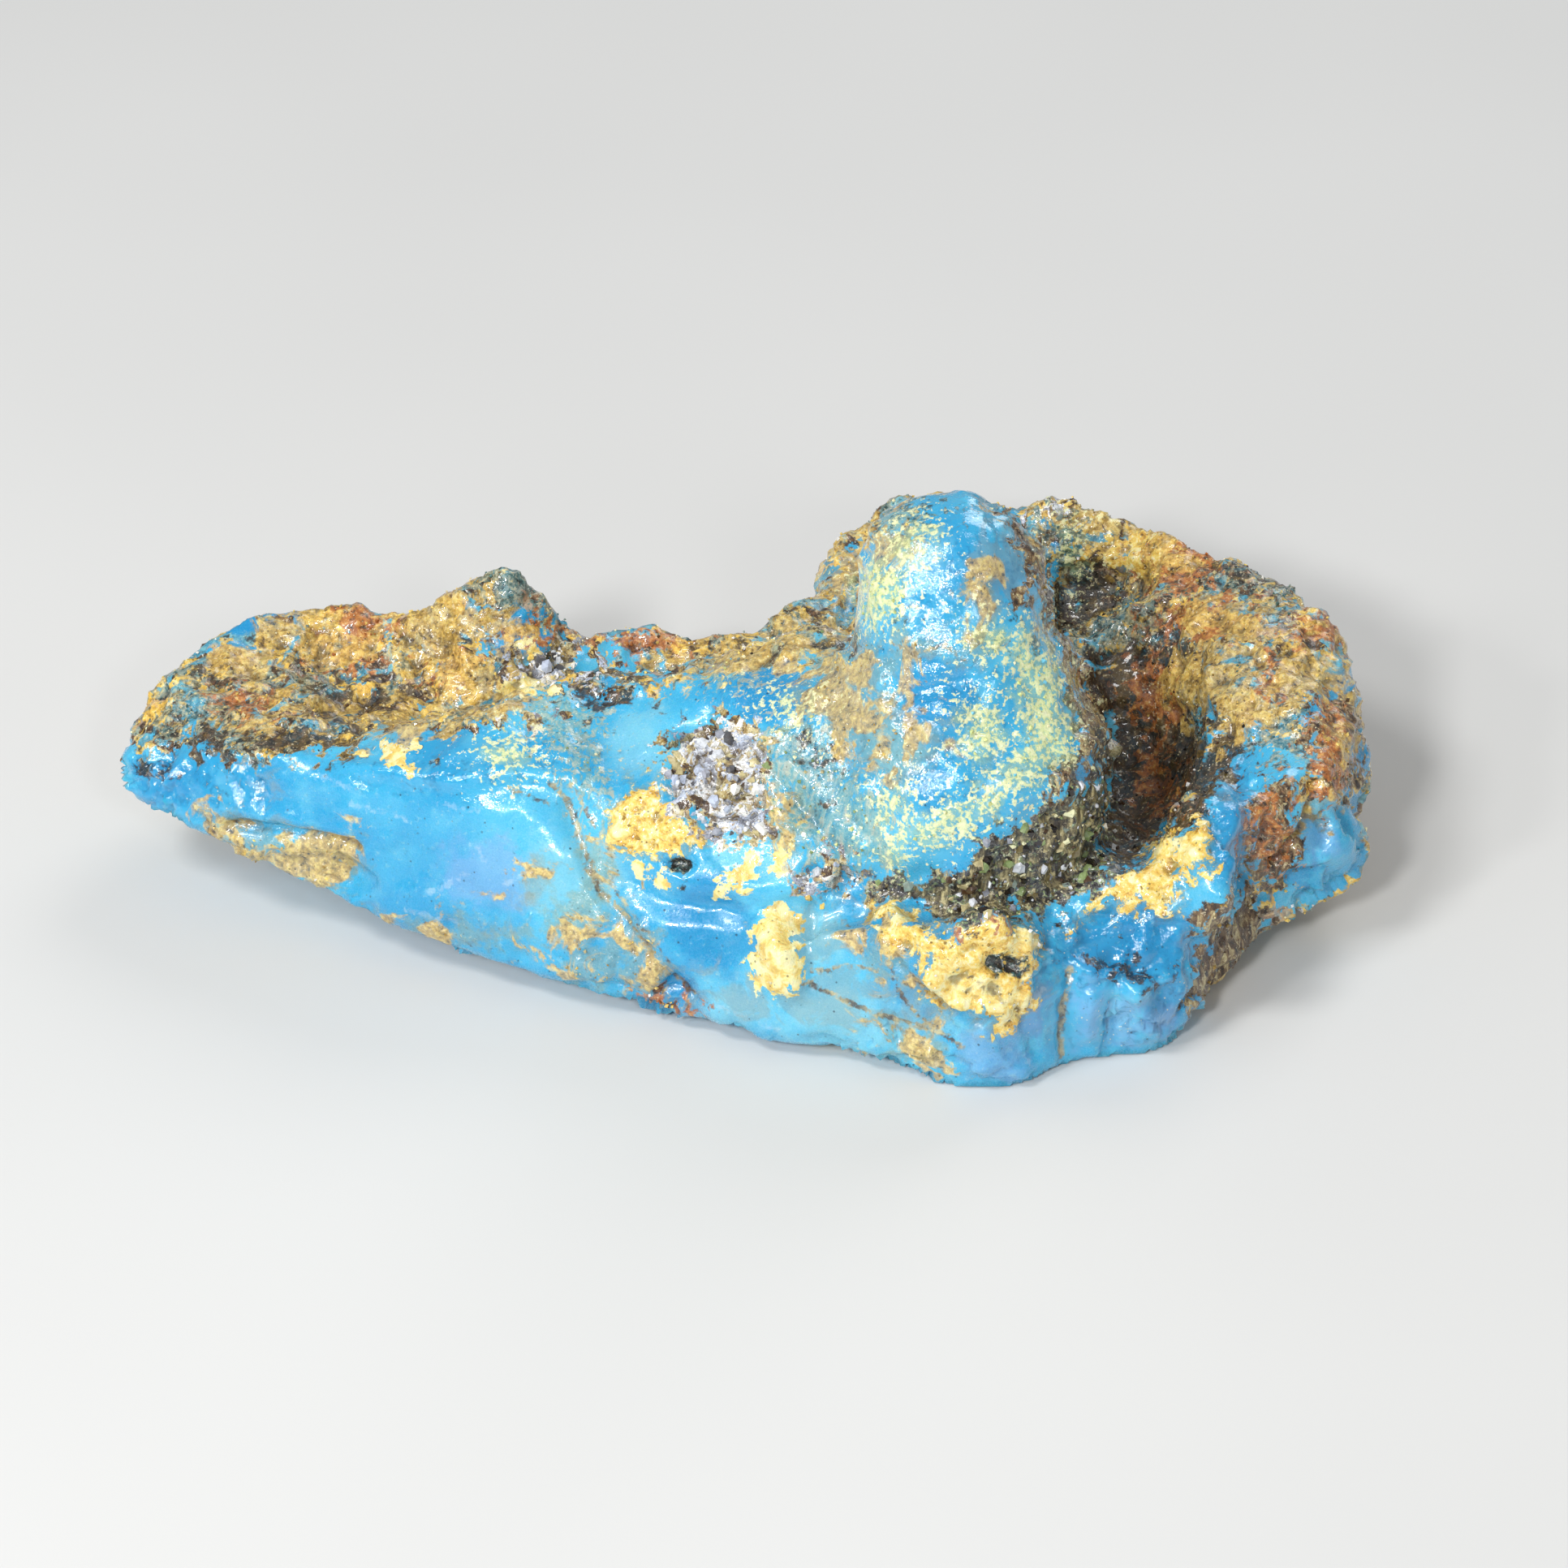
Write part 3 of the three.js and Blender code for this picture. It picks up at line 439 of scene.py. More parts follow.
class Surface:
    """The lump's skin as numbers: places and normals in mm, and the pairs of neighbours."""

    def __init__(self, mesh):
        self.mesh = mesh
        n = len(mesh.vertices)
        self.at = np.empty(n * 3)
        mesh.vertices.foreach_get("co", self.at)
        self.at = self.at.reshape(n, 3) / MM
        pairs = np.empty(len(mesh.edges) * 2, dtype=np.int64)
        mesh.edges.foreach_get("vertices", pairs)
        self.a, self.b = pairs.reshape(-1, 2).T
        self.valence = np.bincount(np.concatenate([self.a, self.b]), minlength=n)

    def mean_of_neighbours(self, values):
        n = len(self.at)
        columns = values.reshape(n, -1).T
        sums = [np.bincount(self.a, c[self.b], n) + np.bincount(self.b, c[self.a], n) for c in columns]
        return (np.array(sums) / self.valence).T.reshape(values.shape)

    def smooth(self, values, rounds, share=0.6):
        for _ in range(rounds):
            values = values + share * (self.mean_of_neighbours(values) - values)
        return values

    def write(self):
        self.mesh.vertices.foreach_set("co", (self.at * MM).ravel())
        self.mesh.update()

    def normals(self):
        flat = np.empty(len(self.at) * 3)
        self.mesh.vertices.foreach_get("normal", flat)
        return flat.reshape(-1, 3)

    def tree(self):
        polygons = [tuple(p.vertices) for p in self.mesh.polygons]
        return BVHTree.FromPolygons([Vector(v) for v in self.at], polygons)

    def keep(self, name, values, limit):
        """Stores one number for each vertex, for the materials to read."""
        layer = self.mesh.attributes.new(name, "FLOAT", "POINT")
        layer.data.foreach_set("value", np.clip(values, -limit, limit).astype(np.float32))


def blank_surface(node):
    """The CAD node's skin with a fine even mesh, as a new mesh."""
    bm = bmesh.new()
    bm.from_mesh(node.data)
    bmesh.ops.remove_doubles(bm, verts=bm.verts, dist=1e-7)
    welded = bpy.data.meshes.new("blue_amber_stone")
    bm.to_mesh(welded)
    bm.free()
    rough = bpy.data.objects.new("rough_copy", welded)
    bpy.context.collection.objects.link(rough)
    remesh = rough.modifiers.new("even", "REMESH")
    remesh.mode = "VOXEL"
    remesh.voxel_size = VOXEL * MM
    bpy.context.view_layer.update()
    made = bpy.data.meshes.new_from_object(rough.evaluated_get(bpy.context.evaluated_depsgraph_get()))
    bpy.data.objects.remove(rough)
    return made


def hits(tree, pixels):
    """Where the lines of sight to some pixels meet the surface, leaving out those that miss."""
    found = []
    for px, py in pixels:
        place = tree.ray_cast(Vector(EYE), Vector(sight(px, py)).normalized(), 2 * DISTANCE)[0]
        if place is not None:
            found.append(np.array(place))
    return found


def away(at, path):
    """Each place's distance to a line of points, in mm."""
    if len(path) == 1:
        return np.linalg.norm(at - path[0], axis=1)
    best = np.full(len(at), np.inf)
    for a, b in zip(path, path[1:]):
        along = b - a
        t = np.clip((at - a) @ along / max(along @ along, 1e-9), 0, 1)
        best = np.minimum(best, np.linalg.norm(at - a - t[:, None] * along, axis=1))
    return best


def lines_field(at, tree, lines):
    """How far each place lies inside the nearest of some lines, in mm: negative outside."""
    field = np.full(len(at), -FAR)
    for half_width, *pixels in lines:
        path = hits(tree, pixels)
        if path:
            field = np.maximum(field, half_width - away(at, path))
    return field


def inside_outline(x, y, outline):
    """The distance to an outline's edge in pixels, positive inside."""
    nearest = np.full(len(x), np.inf)
    within = np.zeros(len(x), dtype=bool)
    for (ax, ay), (bx, by) in zip(outline, outline[1:] + outline[:1]):
        dx, dy = bx - ax, by - ay
        t = np.clip(((x - ax) * dx + (y - ay) * dy) / (dx * dx + dy * dy), 0, 1)
        nearest = np.minimum(nearest, np.hypot(x - ax - t * dx, y - ay - t * dy))
        if dy:
            within ^= ((ay > y) != (by > y)) & (x < ax + (y - ay) * dx / dy)
    return np.where(within, nearest, -nearest)


def inside_oval(x, y, box):
    left, right, top, bottom = box
    half_width, half_height = (right - left) / 2, (bottom - top) / 2
    radius = np.hypot((x - left - half_width) / half_width, (y - top - half_height) / half_height)
    return (1 - radius) * min(half_width, half_height)


def marks_field(x, y, marks):
    """How far each place lies inside the nearest of some marks, in mm: negative outside."""
    field = np.full(len(x), -FAR)
    for mark in marks:
        reach = inside_oval(x, y, mark) if isinstance(mark, tuple) else inside_outline(x, y, mark)
        field = np.maximum(field, reach / SCALE)
    return field


def warped(at):
    """The places pushed about at random, so that what is measured from them has ragged edges."""
    moved = at
    for length, shift, push in WARPS:
        moved = moved + push * np.array([noise.noise_vector(p) for p in (at / length + shift).tolist()])
    return moved


def cloud(at, length, octaves, shift):
    """Fractal noise of about -1 to 1 at each place, with lumps of that length in mm."""
    scaled = (at + shift) / length
    return np.array([noise.fractal(p, 1.0, 2.0, octaves) for p in scaled.tolist()])


def facets(at, length, shift):
    """Heights of a surface broken into flat chips of about that length, ridged where they meet."""
    heights = np.empty(len(at))
    for i, p in enumerate(((at + shift) / length).tolist()):
        spot = Vector(p)
        centres = noise.voronoi(p)[1]
        heights[i] = min(noise.noise_vector(c * 5.3) @ (spot - c) for c in centres)
    return heights * length


def blocks(at, length, shift):
    """For angular blocks of that size in mm: a random number for each, and the gap beside it."""
    gap, tint = [], []
    for p in ((at + shift) / length).tolist():
        distances, centres = noise.voronoi(p)
        gap.append(distances[1] - distances[0])
        tint.append(noise.cell(centres[0] * 3.7))
    return np.array(gap), np.array(tint)


def step(values, low, high):
    t = np.clip((values - low) / (high - low), 0, 1)
    return t * t * (3 - 2 * t)


def seen_from_camera(surface, tree, normals):
    """1 where the camera sees the surface and 0 where it is turned away or covered, with soft edges."""
    clearance, reach = 0.1, 80
    seen = np.zeros(len(surface.at))
    for i in np.flatnonzero(np.sum(normals * (EYE - surface.at), axis=1) > 0):
        start = surface.at[i] + normals[i] * clearance
        seen[i] = tree.ray_cast(Vector(start), Vector(EYE - start).normalized(), reach)[0] is None
    return surface.smooth(seen, SOFTENING)


def guessed_fields(at, normals):
    """The marks' fields where the photograph doesn't reach, made up from noise. The foot of the
    front face and the back of the knob's tip stay mostly bare, and the back and the tops crusty."""
    behind = at[:, 1] + 0.25 * at[:, 0]
    front = step(-at[:, 1] - 0.3 * at[:, 0], 4, 9)
    tip = step(at[:, 2], 15, 19)
    bare = 2 * front + 3 * tip
    made = {}
    for kind, (length, octaves, shift, height, base) in WILD.items():
        made[kind] = height * cloud(at, length, octaves, shift) + base
    made["crust"] += 0.06 * behind + 0.9 * normals[:, 2]
    return {kind: np.clip(field - bare, -FAR, 2) for kind, field in made.items()}


def paint_fields(surface, tree, normals, seen):
    """Each kind of mark as a field over the surface, in mm inside the nearest mark of the kind."""
    at = surface.at
    x, y = in_photo(warped(at))
    fields = {kind: marks_field(x, y, marks) for kind, marks in MARKS.items()}
    clean = marks_field(x, y, CLEAN)
    for kind in ("crust", "skin"):
        fields[kind] = np.minimum(fields[kind], 0.2 - clean)
    hidden = step(1 - seen, 0.35, 0.75)
    guessed = guessed_fields(at, normals)
    for kind, field in fields.items():
        fields[kind] = field * (1 - hidden) + guessed.get(kind, -FAR) * hidden
    fields["chipped"] = np.maximum(fields["chipped"], 2 * hidden - 1)
    fields["vein"] = lines_field(at, tree, VEINS)
    fields["wisp"] = lines_field(at, tree, WISPS)
    return fields


def raised(at, fields):
    """How far each place is pushed out, in mm, for the chips of the clean blue, the rough crust,
    the crystals, the slabs of gold and cream, and the holes."""

    def on(kind, low=-0.2, high=0.2):
        return step(fields[kind], low, high)

    crusty = np.maximum(on("crust"), on("skin"))
    marked = [crusty, on("dark"), on("band"), 0.7 * on("ochre"), 0.8 * on("gold"), 0.5 * on("olive")]
    rough = np.maximum.reduce(marked)
    clean = 1 - rough
    chipped = on("chipped", -0.6, 0.6)
    knots = cloud(at, 0.7, 3, 8)
    ridges = 1 - 2 * np.abs(cloud(at, 1.0, 3, 12))
    gap, tint = blocks(at + 0.25 * knots[:, None], 0.75, 2)

    out = clean * (0.1 * cloud(at, 3.2, 2, 3) + (0.12 + 0.42 * chipped) * facets(at, 2.3, 9))
    out += clean * chipped * 0.22 * facets(at, 1.1, 5)
    lumps, grit = cloud(at, 1.6, 3, 5), cloud(at, 0.4, 2, 61)
    out += rough * (0.32 * lumps + 0.14 * knots + 0.14 * ridges + 0.05 * grit)
    crystals = 0.5 * (tint - 0.5) + 0.16 * np.clip(gap * 2, 0, 1) - 0.1 + 0.1 * knots
    out += on("druse", -0.3, 0.4) * crystals
    dimples = 0.05 * knots + 0.05 * cloud(at, 1.3, 2, 47)
    out += np.maximum(on("wet", -0.5, 0.8), 0.25) * clean * dimples
    slabs = 0.1 + 0.3 * facets(at, 0.9, 27) + 0.06 * knots
    out += (on("gold") + 0.6 * on("cream")) * slabs
    out += 0.1 * on("ochre", -0.1, 0.15) + 0.05 * on("lime") * (1 + knots)
    out -= 0.3 * on("dark", -0.2, 0.4) + 0.55 * on("hole", -0.2, 0.3)
    return out


def stroked(at, tree):
    """How far each place is pushed out by the raised and carved strokes, in mm."""
    out = np.zeros(len(at))
    for depth, half_width, *pixels in RELIEF:
        path = hits(tree, pixels)
        if path:
            out += depth * np.exp(-((away(at, path) / half_width) ** 2))
    return out


def stone():
    """The visible stone: a fine skin on the solid, with its marks as fields and its relief."""
    surface = Surface(blank_surface(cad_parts["blue_amber_lump"]))
    base = surface.at[:, 2] < BASE_HEIGHT
    surface.at = surface.smooth(surface.at, SMOOTHING)
    surface.at[base, 2] = 0
    surface.write()
    normals = surface.normals()
    tree = surface.tree()
    at = surface.at.copy()
    seen = seen_from_camera(surface, tree, normals)
    fields = paint_fields(surface, tree, normals, seen)

    push = raised(at, fields) + stroked(at, tree) * seen
    push[base] = 0
    low, high = (np.array(corner) / MM for corner in cad_box)
    margin = np.array([OVER_BOX, OVER_BOX, 0])
    surface.at = np.clip(at + normals * push[:, None], low - margin, high + OVER_BOX)
    surface.write()

    for kind, field in fields.items():
        surface.keep(kind, field, FAR)
    # How far each place sinks below its smoothed neighbours, which the material darkens as painted shade.
    cavity = surface.smooth(surface.at, SOFTENING) - surface.at
    surface.keep("cavity", np.sum(cavity * surface.normals(), axis=1), 1)
    surface.mesh.shade_smooth()
    surface.mesh.materials.clear()
    obj = bpy.data.objects.new("blue_amber_stone", surface.mesh)
    bpy.context.collection.objects.link(obj)
    return obj, surface, fields


def crystal_block():
    """A stubby six-sided crystal with a low point at each end."""
    ring = [(math.cos(a), math.sin(a)) for a in np.linspace(0, 2 * math.pi, 6, endpoint=False)]
    corners = [(x, y, z) for z in (-0.7, 0.7) for x, y in ring] + [(0, 0, -1.2), (0, 0, 1.2)]
    faces = []
    for i in range(6):
        j = (i + 1) % 6
        faces += [(i, j, 6 + j, 6 + i), (j, i, 12), (6 + i, 6 + j, 13)]
    return np.array(corners), faces


def scatter(name, shape, surface, fields, weights):
    """Many small solids set into the surface, joined in one mesh, each with one colour."""
    count, smallest, largest, sink, seed, material, rough, coat = SCATTERED[name]
    rng = np.random.default_rng(seed)
    corners, faces = shape
    normals = surface.normals()
    chosen = rng.choice(len(surface.at), count, replace=False, p=weights / weights.sum())
    places = np.empty((count, len(corners), 3))
    paints = np.empty((count, len(corners), 4), dtype=np.float32)
    for k, i in enumerate(chosen):
        turn, _ = np.linalg.qr(rng.normal(size=(3, 3)))
        turn *= np.sign(np.linalg.det(turn))
        size = (smallest + (largest - smallest) * rng.random() ** 2) * rng.uniform(0.7, 1.3, 3)
        uneven = corners * rng.uniform(0.8, 1.2, (len(corners), 1))
        centre = surface.at[i] + rng.normal(0, 0.05, 3) - normals[i] * size.mean() * sink
        places[k] = centre + (uneven * size) @ turn
        held = [kind for kind in GRAINS if fields[kind][i] > 0] or ["crust"]
        palette = GRAINS[held[-1]]
        shade = rng.uniform(0.8, 1.15)
        paint = palette[rng.integers(len(palette))]
        paints[k] = [*(min(1, c * shade) for c in paint[:3]), 1]
    flat = places.reshape(-1, 3)
    flat[:, 2] = np.maximum(flat[:, 2], cad_box[0][2] / MM)
    all_faces = [tuple(k * len(corners) + v for v in face) for k in range(count) for face in faces]
    mesh = bpy.data.meshes.new(name)
    mesh.from_pydata((flat * MM).tolist(), [], all_faces)
    layer = mesh.color_attributes.new("tint", "FLOAT_COLOR", "POINT")
    layer.data.foreach_set("color", paints.ravel())
    mesh.materials.append(grain_material(material, rough, coat))
    obj = bpy.data.objects.new(name, mesh)
    bpy.context.collection.objects.link(obj)
    return obj


def grains(surface, fields):
    """The crust's loose-looking grains and the druse's crystals."""
    over = np.maximum.reduce([fields[kind] for kind in GRAINS])
    above = surface.at[:, 2] > 0.5
    clumps = 0.25 + step(cloud(surface.at, 1.4, 3, 33), -0.2, 0.3)
    sandy = step(over, -0.1, 0.15) * above * clumps
    druse, band = step(fields["druse"], -0.3, 0.5), step(fields["band"], -0.1, 0.3)
    bright = np.maximum(druse * clumps**2, 0.3 * band) * above
    fine = scatter("crust_grains", OCTAHEDRON, surface, fields, sandy)
    large = scatter("druse_crystals", crystal_block(), surface, fields, bright)
    return fine, large


class Shader:
    """A material's nodes, added one by one and joined as they are named."""

    def __init__(self, name):
        self.material = bpy.data.materials.new(name)
        self.material.use_nodes = True
        self.nodes = self.material.node_tree.nodes
        self.links = self.material.node_tree.links
        self.nodes.clear()
        place = self.add("ShaderNodeTexCoord").outputs["Object"]
        self.mm = self.vector("MULTIPLY", place, (1 / MM,) * 3)

    def add(self, kind, inputs=None, **settings):
        node = self.nodes.new(kind)
        for name, value in settings.items():
            setattr(node, name, value)
        for name, value in (inputs or {}).items():
            if isinstance(value, bpy.types.NodeSocket):
                self.links.new(value, node.inputs[name])
            else:
                node.inputs[name].default_value = value
        return node

    def vector(self, operation, a, b):
        return self.add("ShaderNodeVectorMath", {0: a, 1: b}, operation=operation).outputs[0]

    def math(self, operation, a, b=0.0, c=0.0):
        return self.add("ShaderNodeMath", {0: a, 1: b, 2: c}, operation=operation).outputs[0]

    def times(self, a, b):
        return self.math("MULTIPLY", a, b)

    def larger(self, a, b):
        return self.math("MAXIMUM", a, b)

    def noise(self, length, detail, roughness=0.55, distortion=0.0, shift=0.0, squash=(1, 1, 1)):
        place = self.vector("ADD", self.mm, (shift,) * 3) if shift else self.mm
        if squash != (1, 1, 1):
            place = self.vector("MULTIPLY", place, squash)
        settings = {"Vector": place, "Scale": 1 / length, "Distortion": distortion}
        settings |= {"Detail": detail, "Roughness": roughness}
        return self.add("ShaderNodeTexNoise", settings).outputs["Fac"]

    def cells(self, length, shift, output="Distance"):
        place = self.vector("ADD", self.mm, (shift,) * 3)
        return self.add("ShaderNodeTexVoronoi", {"Vector": place, "Scale": 1 / length}).outputs[output]

    def dots(self, apart, shift, radius, core):
        """Round dots: 1 within the core, 0 beyond the radius, both as shares of their spacing."""
        return self.ramp(self.cells(apart, shift), radius, core)

    def ramp(self, value, low, high, to_low=0.0, to_high=1.0):
        settings = {"Value": value, "From Min": low, "From Max": high, "To Min": to_low, "To Max": to_high}
        return self.add("ShaderNodeMapRange", settings, interpolation_type="SMOOTHSTEP").outputs["Result"]

    def field(self, name):
        return self.add("ShaderNodeAttribute", attribute_name=name).outputs["Fac"]

    def mask(self, name, ragged, by, soft, shift=0.0):
        """1 inside the named marks, with an edge made ragged by a noise."""
        edge = self.math("MULTIPLY_ADD", self.math("SUBTRACT", ragged, 0.5), by * 2, self.field(name))
        return self.ramp(edge, shift - soft, shift + soft)

    def mix(self, fac, a, b):
        node = self.add("ShaderNodeMix", data_type="RGBA")
        for socket, value in ((node.inputs[0], fac), (node.inputs[6], a), (node.inputs[7], b)):
            if isinstance(value, bpy.types.NodeSocket):
                self.links.new(value, socket)
            else:
                socket.default_value = value
        return node.outputs[2]

    def blend(self, fac, a, b):
        """a where fac is 0, b where it is 1, for plain numbers."""
        return self.add("ShaderNodeMix", {0: fac, 2: a, 3: b}, data_type="FLOAT").outputs[0]

    def colours(self, value, palette):
        node = self.add("ShaderNodeValToRGB", {"Fac": value})
        ramp = node.color_ramp
        while len(ramp.elements) < len(palette):
            ramp.elements.new(0.5)
        for element, (position, colour) in zip(ramp.elements, palette):
            element.position = position
            element.color = colour
        return node.outputs["Color"]

    def bump(self, height, strength):
        settings = {"Height": height, "Strength": strength, "Distance": BUMP_HEIGHT * MM}
        return self.add("ShaderNodeBump", settings).outputs[0]

    def finish(self, **inputs):
        body = self.add("ShaderNodeBsdfPrincipled", {name.replace("_", " "): v for name, v in inputs.items()})
        self.add("ShaderNodeOutputMaterial", {"Surface": body.outputs[0]})
        return self.material


class StoneShader(Shader):
    """The stone's material, with the noises that its paints share, from the broadest to the finest."""

    def __init__(self):
        super().__init__("blue_amber_and_crust")
        self.broad = self.noise(5.5, 2)
        self.drift = self.noise(2.4, 5, 0.62, 0.8, 67)
        self.patchy = self.noise(1.9, 3, 0.6, 0.4, 11)
        self.ragged = self.noise(0.9, 4, 0.65, 0.3, 23)
        self.mottle = self.noise(0.6, 4, 0.62, 0.6, 83)
        self.streaks = self.noise(0.5, 4, 0.6, 0.6, 29, (1.6, 1.6, 0.35))
        self.fine = self.noise(0.3, 3, 0.62, 0.2, 37)
        self.grain = self.noise(0.1, 2, 0.6, 0, 51)
        self.wet = self.mask("wet", self.ragged, 1.5, 0.6)

    def blue(self):
        """The resin's own blue, with its deeper, paler and stained zones and its dark pin dots."""
        mask, times, ramp = self.mask, self.times, self.ramp
        ragged, mottle, fine = self.ragged, self.mottle, self.fine
        pins = times(self.dots(0.55, 33, 0.13, 0.08), ramp(mottle, 0.46, 0.56))
        blue = self.colours(self.broad, BLUES)
        for share, paint in (
            (ramp(self.patchy, 0.5, 0.72, 0, 0.4), SKY),
            (times(mask("deep", ragged, 1.5, 0.5), 0.7), DEEP),
            (times(mask("pale", ragged, 2, 0.8), 0.35), PALE),
            (times(mask("lavender", ragged, 1.5, 0.6), 0.5), LAVENDER),
            (ramp(fine, 0.58, 0.72, 0, 0.3), PALE),
            (times(mask("wisp", fine, 0.4, 0.1), 0.2), ICE),
            (times(mask("stain", self.drift, 5, 0.5), 0.32), STAIN),
            (times(ramp(mottle, 0.54, 0.64), times(self.wet, 0.35)), MARINE),
            (times(pins, 0.75), INK),
            (times(ramp(mottle, 0.66, 0.74), 0.5), NAVY),
        ):
            blue = self.mix(share, blue, paint)
        return blue

    def crust(self):
        """Sandy crust with patches of the other crusts, each where a noise of its own is high."""
        soft = self.blend(0.5, self.fine, self.ragged)
        sandy, greyish = self.colours(soft, SANDY), self.colours(soft, GREYISH)
        crust = self.mix(self.ramp(self.drift, 0.47, 0.52), sandy, greyish)
        for length, shift, low, high, palette in (
            (1.3, 83, 0.51, 0.56, BROWNISH),
            (1.9, 97, 0.52, 0.56, BLUISH),
            (2.0, 43, 0.55, 0.59, YELLOWISH),
        ):
            patches = self.ramp(self.noise(length, 3, 0.55, 0.9, shift), low, high)
            crust = self.mix(patches, crust, self.colours(soft, palette))
        return self.mix(self.ramp(self.noise(2.6, 3, 0.6, 0.5, 71), 0.58, 0.64, 0, 0.6), crust, PEACH)

    def druse(self):
        """Pale crystal plates, each of one tone, with ochre between them."""
        tone = self.add("ShaderNodeSeparateColor", {"Color": self.cells(0.85, 8, "Color")}).outputs[0]
        plates = self.colours(tone, PLATES)
        plates = self.mix(self.ramp(self.grain, 0.48, 0.38, 0, 0.6), plates, STEEL)
        return self.mix(self.ramp(self.mottle, 0.5, 0.56, 0, 0.85), plates, self.colours(self.fine, MATRIX))

    def layers(self):
        """Each paint with its share, roughness and glow, in the order in which they cover the blue."""
        mask, times, colours = self.mask, self.times, self.colours
        ragged, mottle, streaks, fine = self.ragged, self.mottle, self.streaks, self.fine
        halo = self.larger(mask("ochre", ragged, 2, 0.45, -0.35), mask("gold", ragged, 2, 0.35, -0.25))
        ochre = colours(self.blend(0.6, mottle, fine), OCHRES)
        gold = colours(self.blend(0.5, fine, mottle), GOLDS)
        # The band: grey and olive grains over soot-dark swirls, which are partly painted shade under the
        # knob.
        band = self.mix(self.ramp(ragged, 0.5, 0.58), colours(streaks, SWIRL_AND_SHADE), colours(fine, GLINTS))
        ochre_share = times(mask("ochre", self.drift, 6, 0.4), self.blend(self.wet, 0.78, 0.72))
        return [
            (HALO, times(halo, 0.4), 0.4, 0.7),
            (self.crust(), mask("crust", ragged, 3, 0.15), 0.42, 0.35),
            (colours(streaks, OLIVES), times(mask("olive", streaks, 4, 0.35), 0.6), 0.4, 0.6),
            (colours(streaks, SKIN), mask("skin", ragged, 2.5, 0.2), 0.55, 0.2),
            (colours(fine, TEALS), times(mask("teal", mottle, 5, 0.35), 0.8), 0.4, 0.2),
            (colours(fine, DARKS), times(mask("dark", ragged, 3.5, 0.35), 0.9), 0.45, 0.05),
            (colours(fine, RUSTS), times(mask("rust", mottle, 3, 0.35, -0.1), 0.9), 0.42, 0.3),
            (ochre, ochre_share, 0.45, 0.5),
            (gold, mask("gold", ragged, 2.5, 0.12), 0.5, 0.6),
            (band, mask("band", ragged, 2.5, 0.2), 0.4, 0.1),
            (self.druse(), mask("druse", ragged, 3, 0.15), 0.3, 0.4),
            (colours(mottle, CREAMS), mask("cream", ragged, 1.5, 0.08), 0.45, 0.7),
            (VEIL, times(mask("lime", ragged, 2, 0.5), 0.5), 0.35, 0.7),
            (colours(fine, LIMES), times(mask("lime", fine, 6, 0.5, 0.35), 0.85), 0.35, 0.5),
            # Painted shade: the holes' insides soot-dark, with some teal and pale specks.
            (colours(fine, HOLE_AND_SHADE), mask("hole", ragged, 1, 0.15), 0.2, 0.05),
        ]

    def speckled(self, colour, stony):
        """The veins, the crust's dark flecks, its pale flecks that are painted glints, painted shade in its
        hollows, and the tiny dots: dark ones, and cream ones that are painted glints.
        """
        mask, times, ramp, blend = self.mask, self.times, self.ramp, self.blend
        flecks = self.noise(0.2, 2, 0.65, 0.4, 61)
        slab = self.larger(mask("gold", self.ragged, 2.5, 0.12), mask("cream", self.ragged, 1.5, 0.08))
        # Cream dots where a noise is high, which are painted glints.
        dots = times(self.dots(0.3, 19, 0.17, 0.1), ramp(self.patchy, 0.46, 0.56))
        for share, paint in (
            (times(mask("vein", self.fine, 0.2, 0.06), 0.85), self.colours(self.ragged, VEIN)),
            (times(ramp(flecks, 0.44, 0.34), times(stony, blend(slab, 0.25, 0.08))), FLECK),
            # Painted glints: pale flecks on the crust.
            (times(ramp(flecks, 0.6, 0.66), times(stony, 0.4)), GLINT),
            # Painted shade: the crust darkened in its hollows.
            (times(ramp(self.field("cavity"), 0.02, 0.16), times(stony, 0.55)), HOLLOW_SHADE),
            (times(self.dots(0.42, 3, 0.17, 0.1), blend(stony, 0.12, 0.6)), SOOT),
            # Painted glints: the cream dots, denser on the crust and the wet parts.
            (times(dots, blend(stony, blend(self.wet, 0.12, 0.5), 0.6)), CREAM),
        ):
            colour = self.mix(share, colour, paint)
        return colour


def stone_material():
    s = StoneShader()
    colour, roughness, glow, stony = s.blue(), 0.28, 1.0, 0.0
    for paint, share, rough, glowing in s.layers():
        colour = s.mix(share, colour, paint)
        roughness = s.blend(share, roughness, rough)
        glow = s.blend(share, glow, glowing)
        stony = s.larger(stony, share)
    roughness = s.times(roughness, s.ramp(s.wet, 0, 1, 1, 0.4))
    roughness = s.math("ADD", roughness, s.ramp(s.grain, 0.35, 0.7, -0.1, 0.12))
    grit = s.math("ADD", s.times(s.fine, 0.6), s.times(s.grain, 0.3))
    ripples = s.noise(0.4, 2, 0.5, 0.2, 13)
    return s.finish(
        Base_Color=s.speckled(colour, stony),
        Roughness=roughness,
        Normal=s.bump(grit, s.blend(stony, s.blend(s.wet, 0.14, 0.2), 0.6)),
        IOR=IOR,
        Subsurface_Weight=s.times(glow, 0.3),
        Subsurface_Radius=(0.4, 0.8, 1.2),
        Subsurface_Scale=1.0 * MM,
        Coat_Weight=s.blend(s.wet, 0.6, 1.0),
        Coat_Roughness=0.04,
        Coat_Normal=s.bump(ripples, s.blend(s.wet, 0.15, 0.6)),
    )


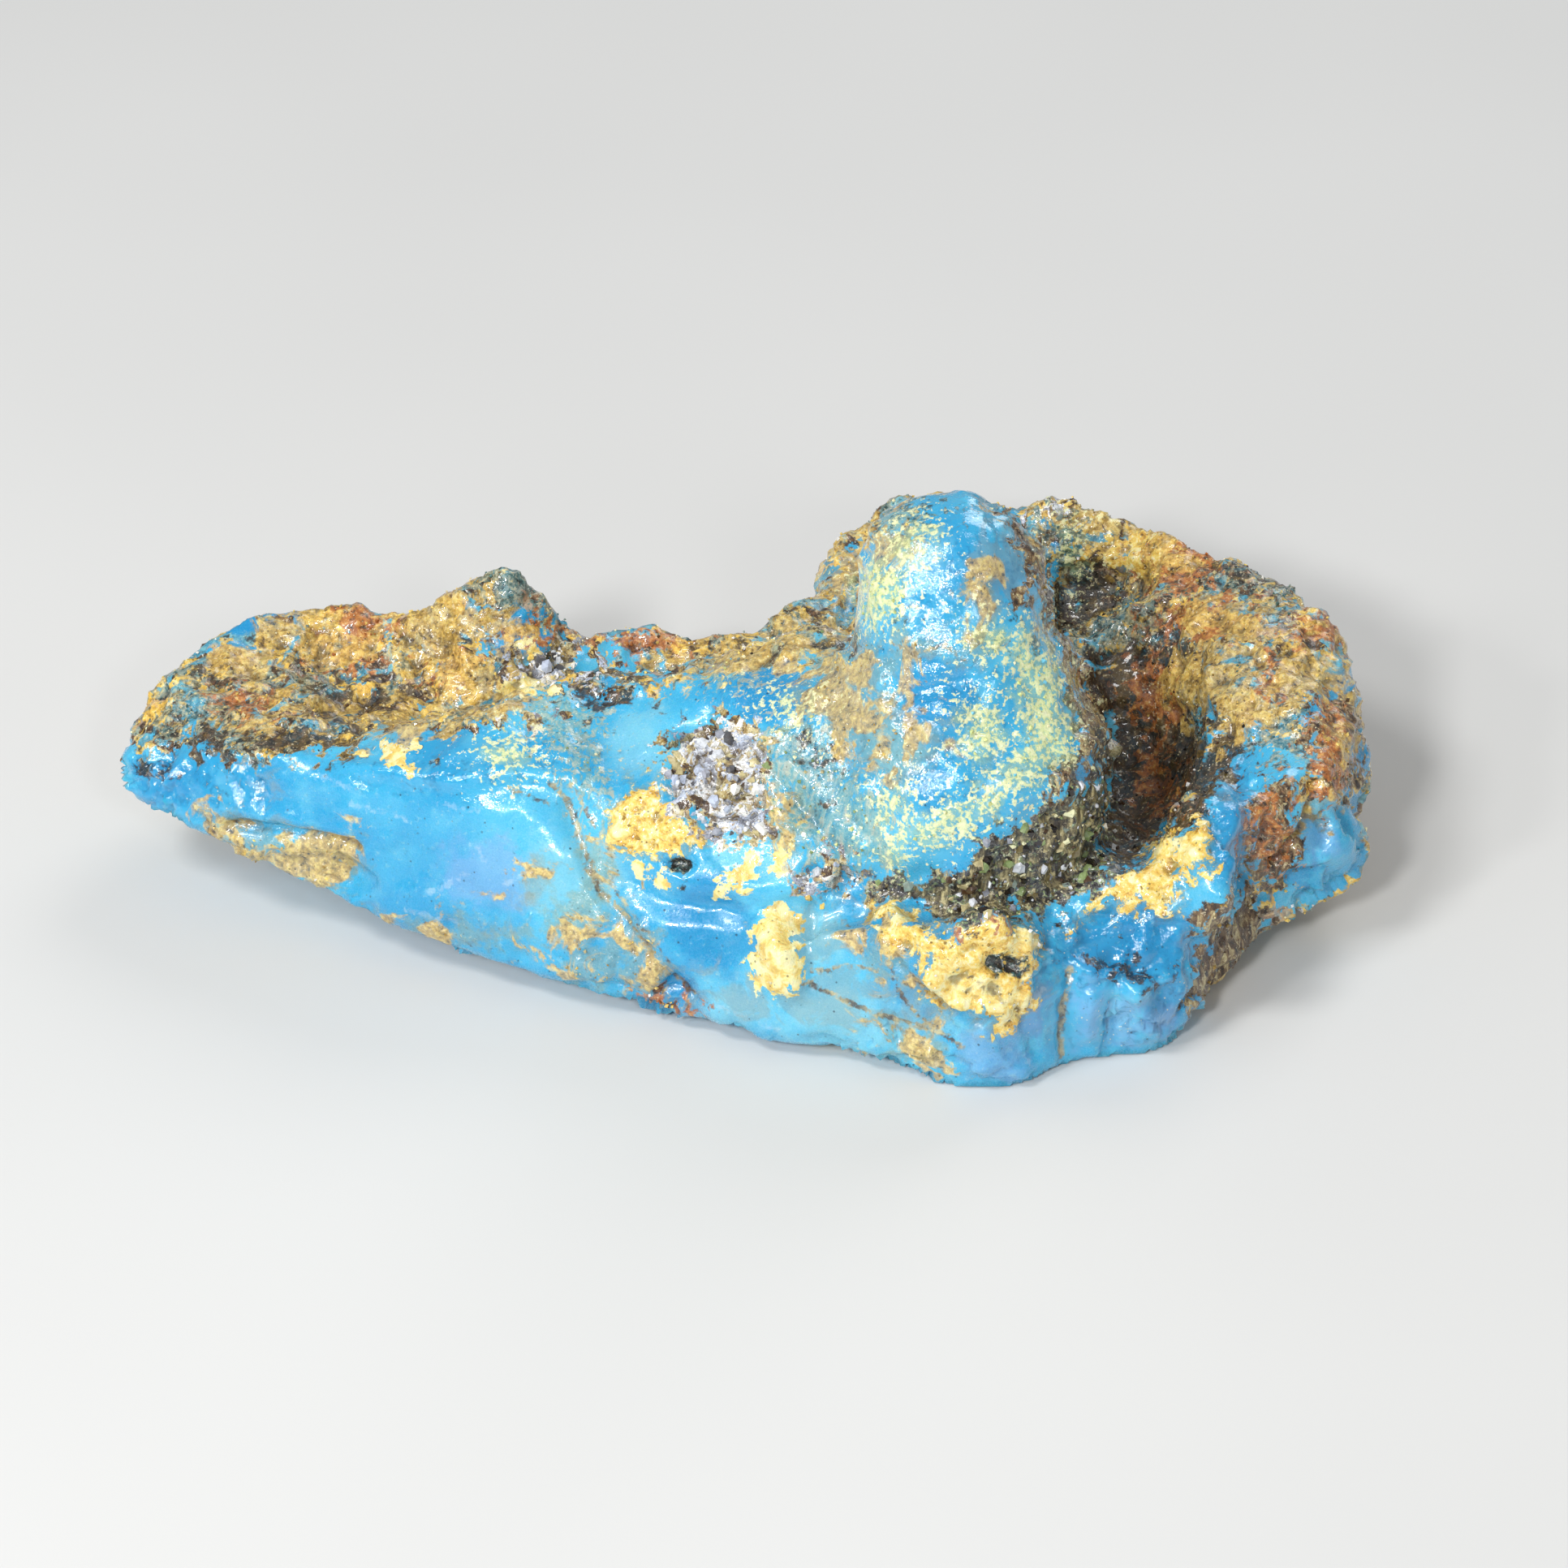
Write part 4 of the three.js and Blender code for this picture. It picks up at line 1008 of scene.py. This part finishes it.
def grain_material(name, rough, coat):
    s = Shader(name)
    tint = s.add("ShaderNodeAttribute", attribute_name="tint").outputs["Color"]
    colour = s.mix(s.ramp(s.noise(0.15, 3, 0.6), 0.45, 0.65, 0, 0.25), tint, UMBER)
    roughness = s.ramp(s.noise(0.2, 2, 0.6, 0, 5), 0.35, 0.65, rough - 0.1, rough + 0.15)
    return s.finish(Base_Color=colour, Roughness=roughness, IOR=IOR, Coat_Weight=coat, Coat_Roughness=0.05)


def floor():
    bm = bmesh.new()
    bmesh.ops.create_grid(bm, x_segments=8, y_segments=8, size=FLOOR_HALF)
    mesh = bpy.data.meshes.new("floor")
    bm.to_mesh(mesh)
    bm.free()
    obj = bpy.data.objects.new("floor", mesh)
    bpy.context.collection.objects.link(obj)
    obj.location.z = -FLOOR_DROP
    s = Shader("pale_floor")
    tint = s.colours(s.noise(60, 2), FLOOR_TINTS)
    mesh.materials.append(s.finish(Base_Color=tint, Roughness=0.85))


def lamp(name, azimuth, elevation, size, watts):
    """A round soft light. Azimuth 0 is the camera's side, and positive is to the right."""
    data = bpy.data.lights.new(name, "AREA")
    data.shape = "DISK"
    data.size = size
    data.energy = watts
    obj = bpy.data.objects.new(name, data)
    bpy.context.collection.objects.link(obj)
    a, e = math.radians(azimuth), math.radians(elevation)
    towards = Vector((math.sin(a) * math.cos(e), -math.cos(a) * math.cos(e), math.sin(e)))
    obj.location = towards * LAMP_DISTANCE + Vector(LAMP_TARGET)
    obj.rotation_euler = towards.to_track_quat("Z", "Y").to_euler()


def lights():
    world = bpy.data.worlds.new("studio")
    world.use_nodes = True
    background = world.node_tree.nodes["Background"].inputs
    background["Color"].default_value = STUDIO_COLOUR
    background["Strength"].default_value = STUDIO_STRENGTH
    bpy.context.scene.world = world
    for settings in LAMPS:
        lamp(*settings)


camera()
stone_object, stone_surface, stone_fields = stone()
stone_object.data.materials.append(stone_material())
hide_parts("blue_amber_lump")
for piece in (stone_object, *grains(stone_surface, stone_fields)):
    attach(piece, "root")
floor()
lights()
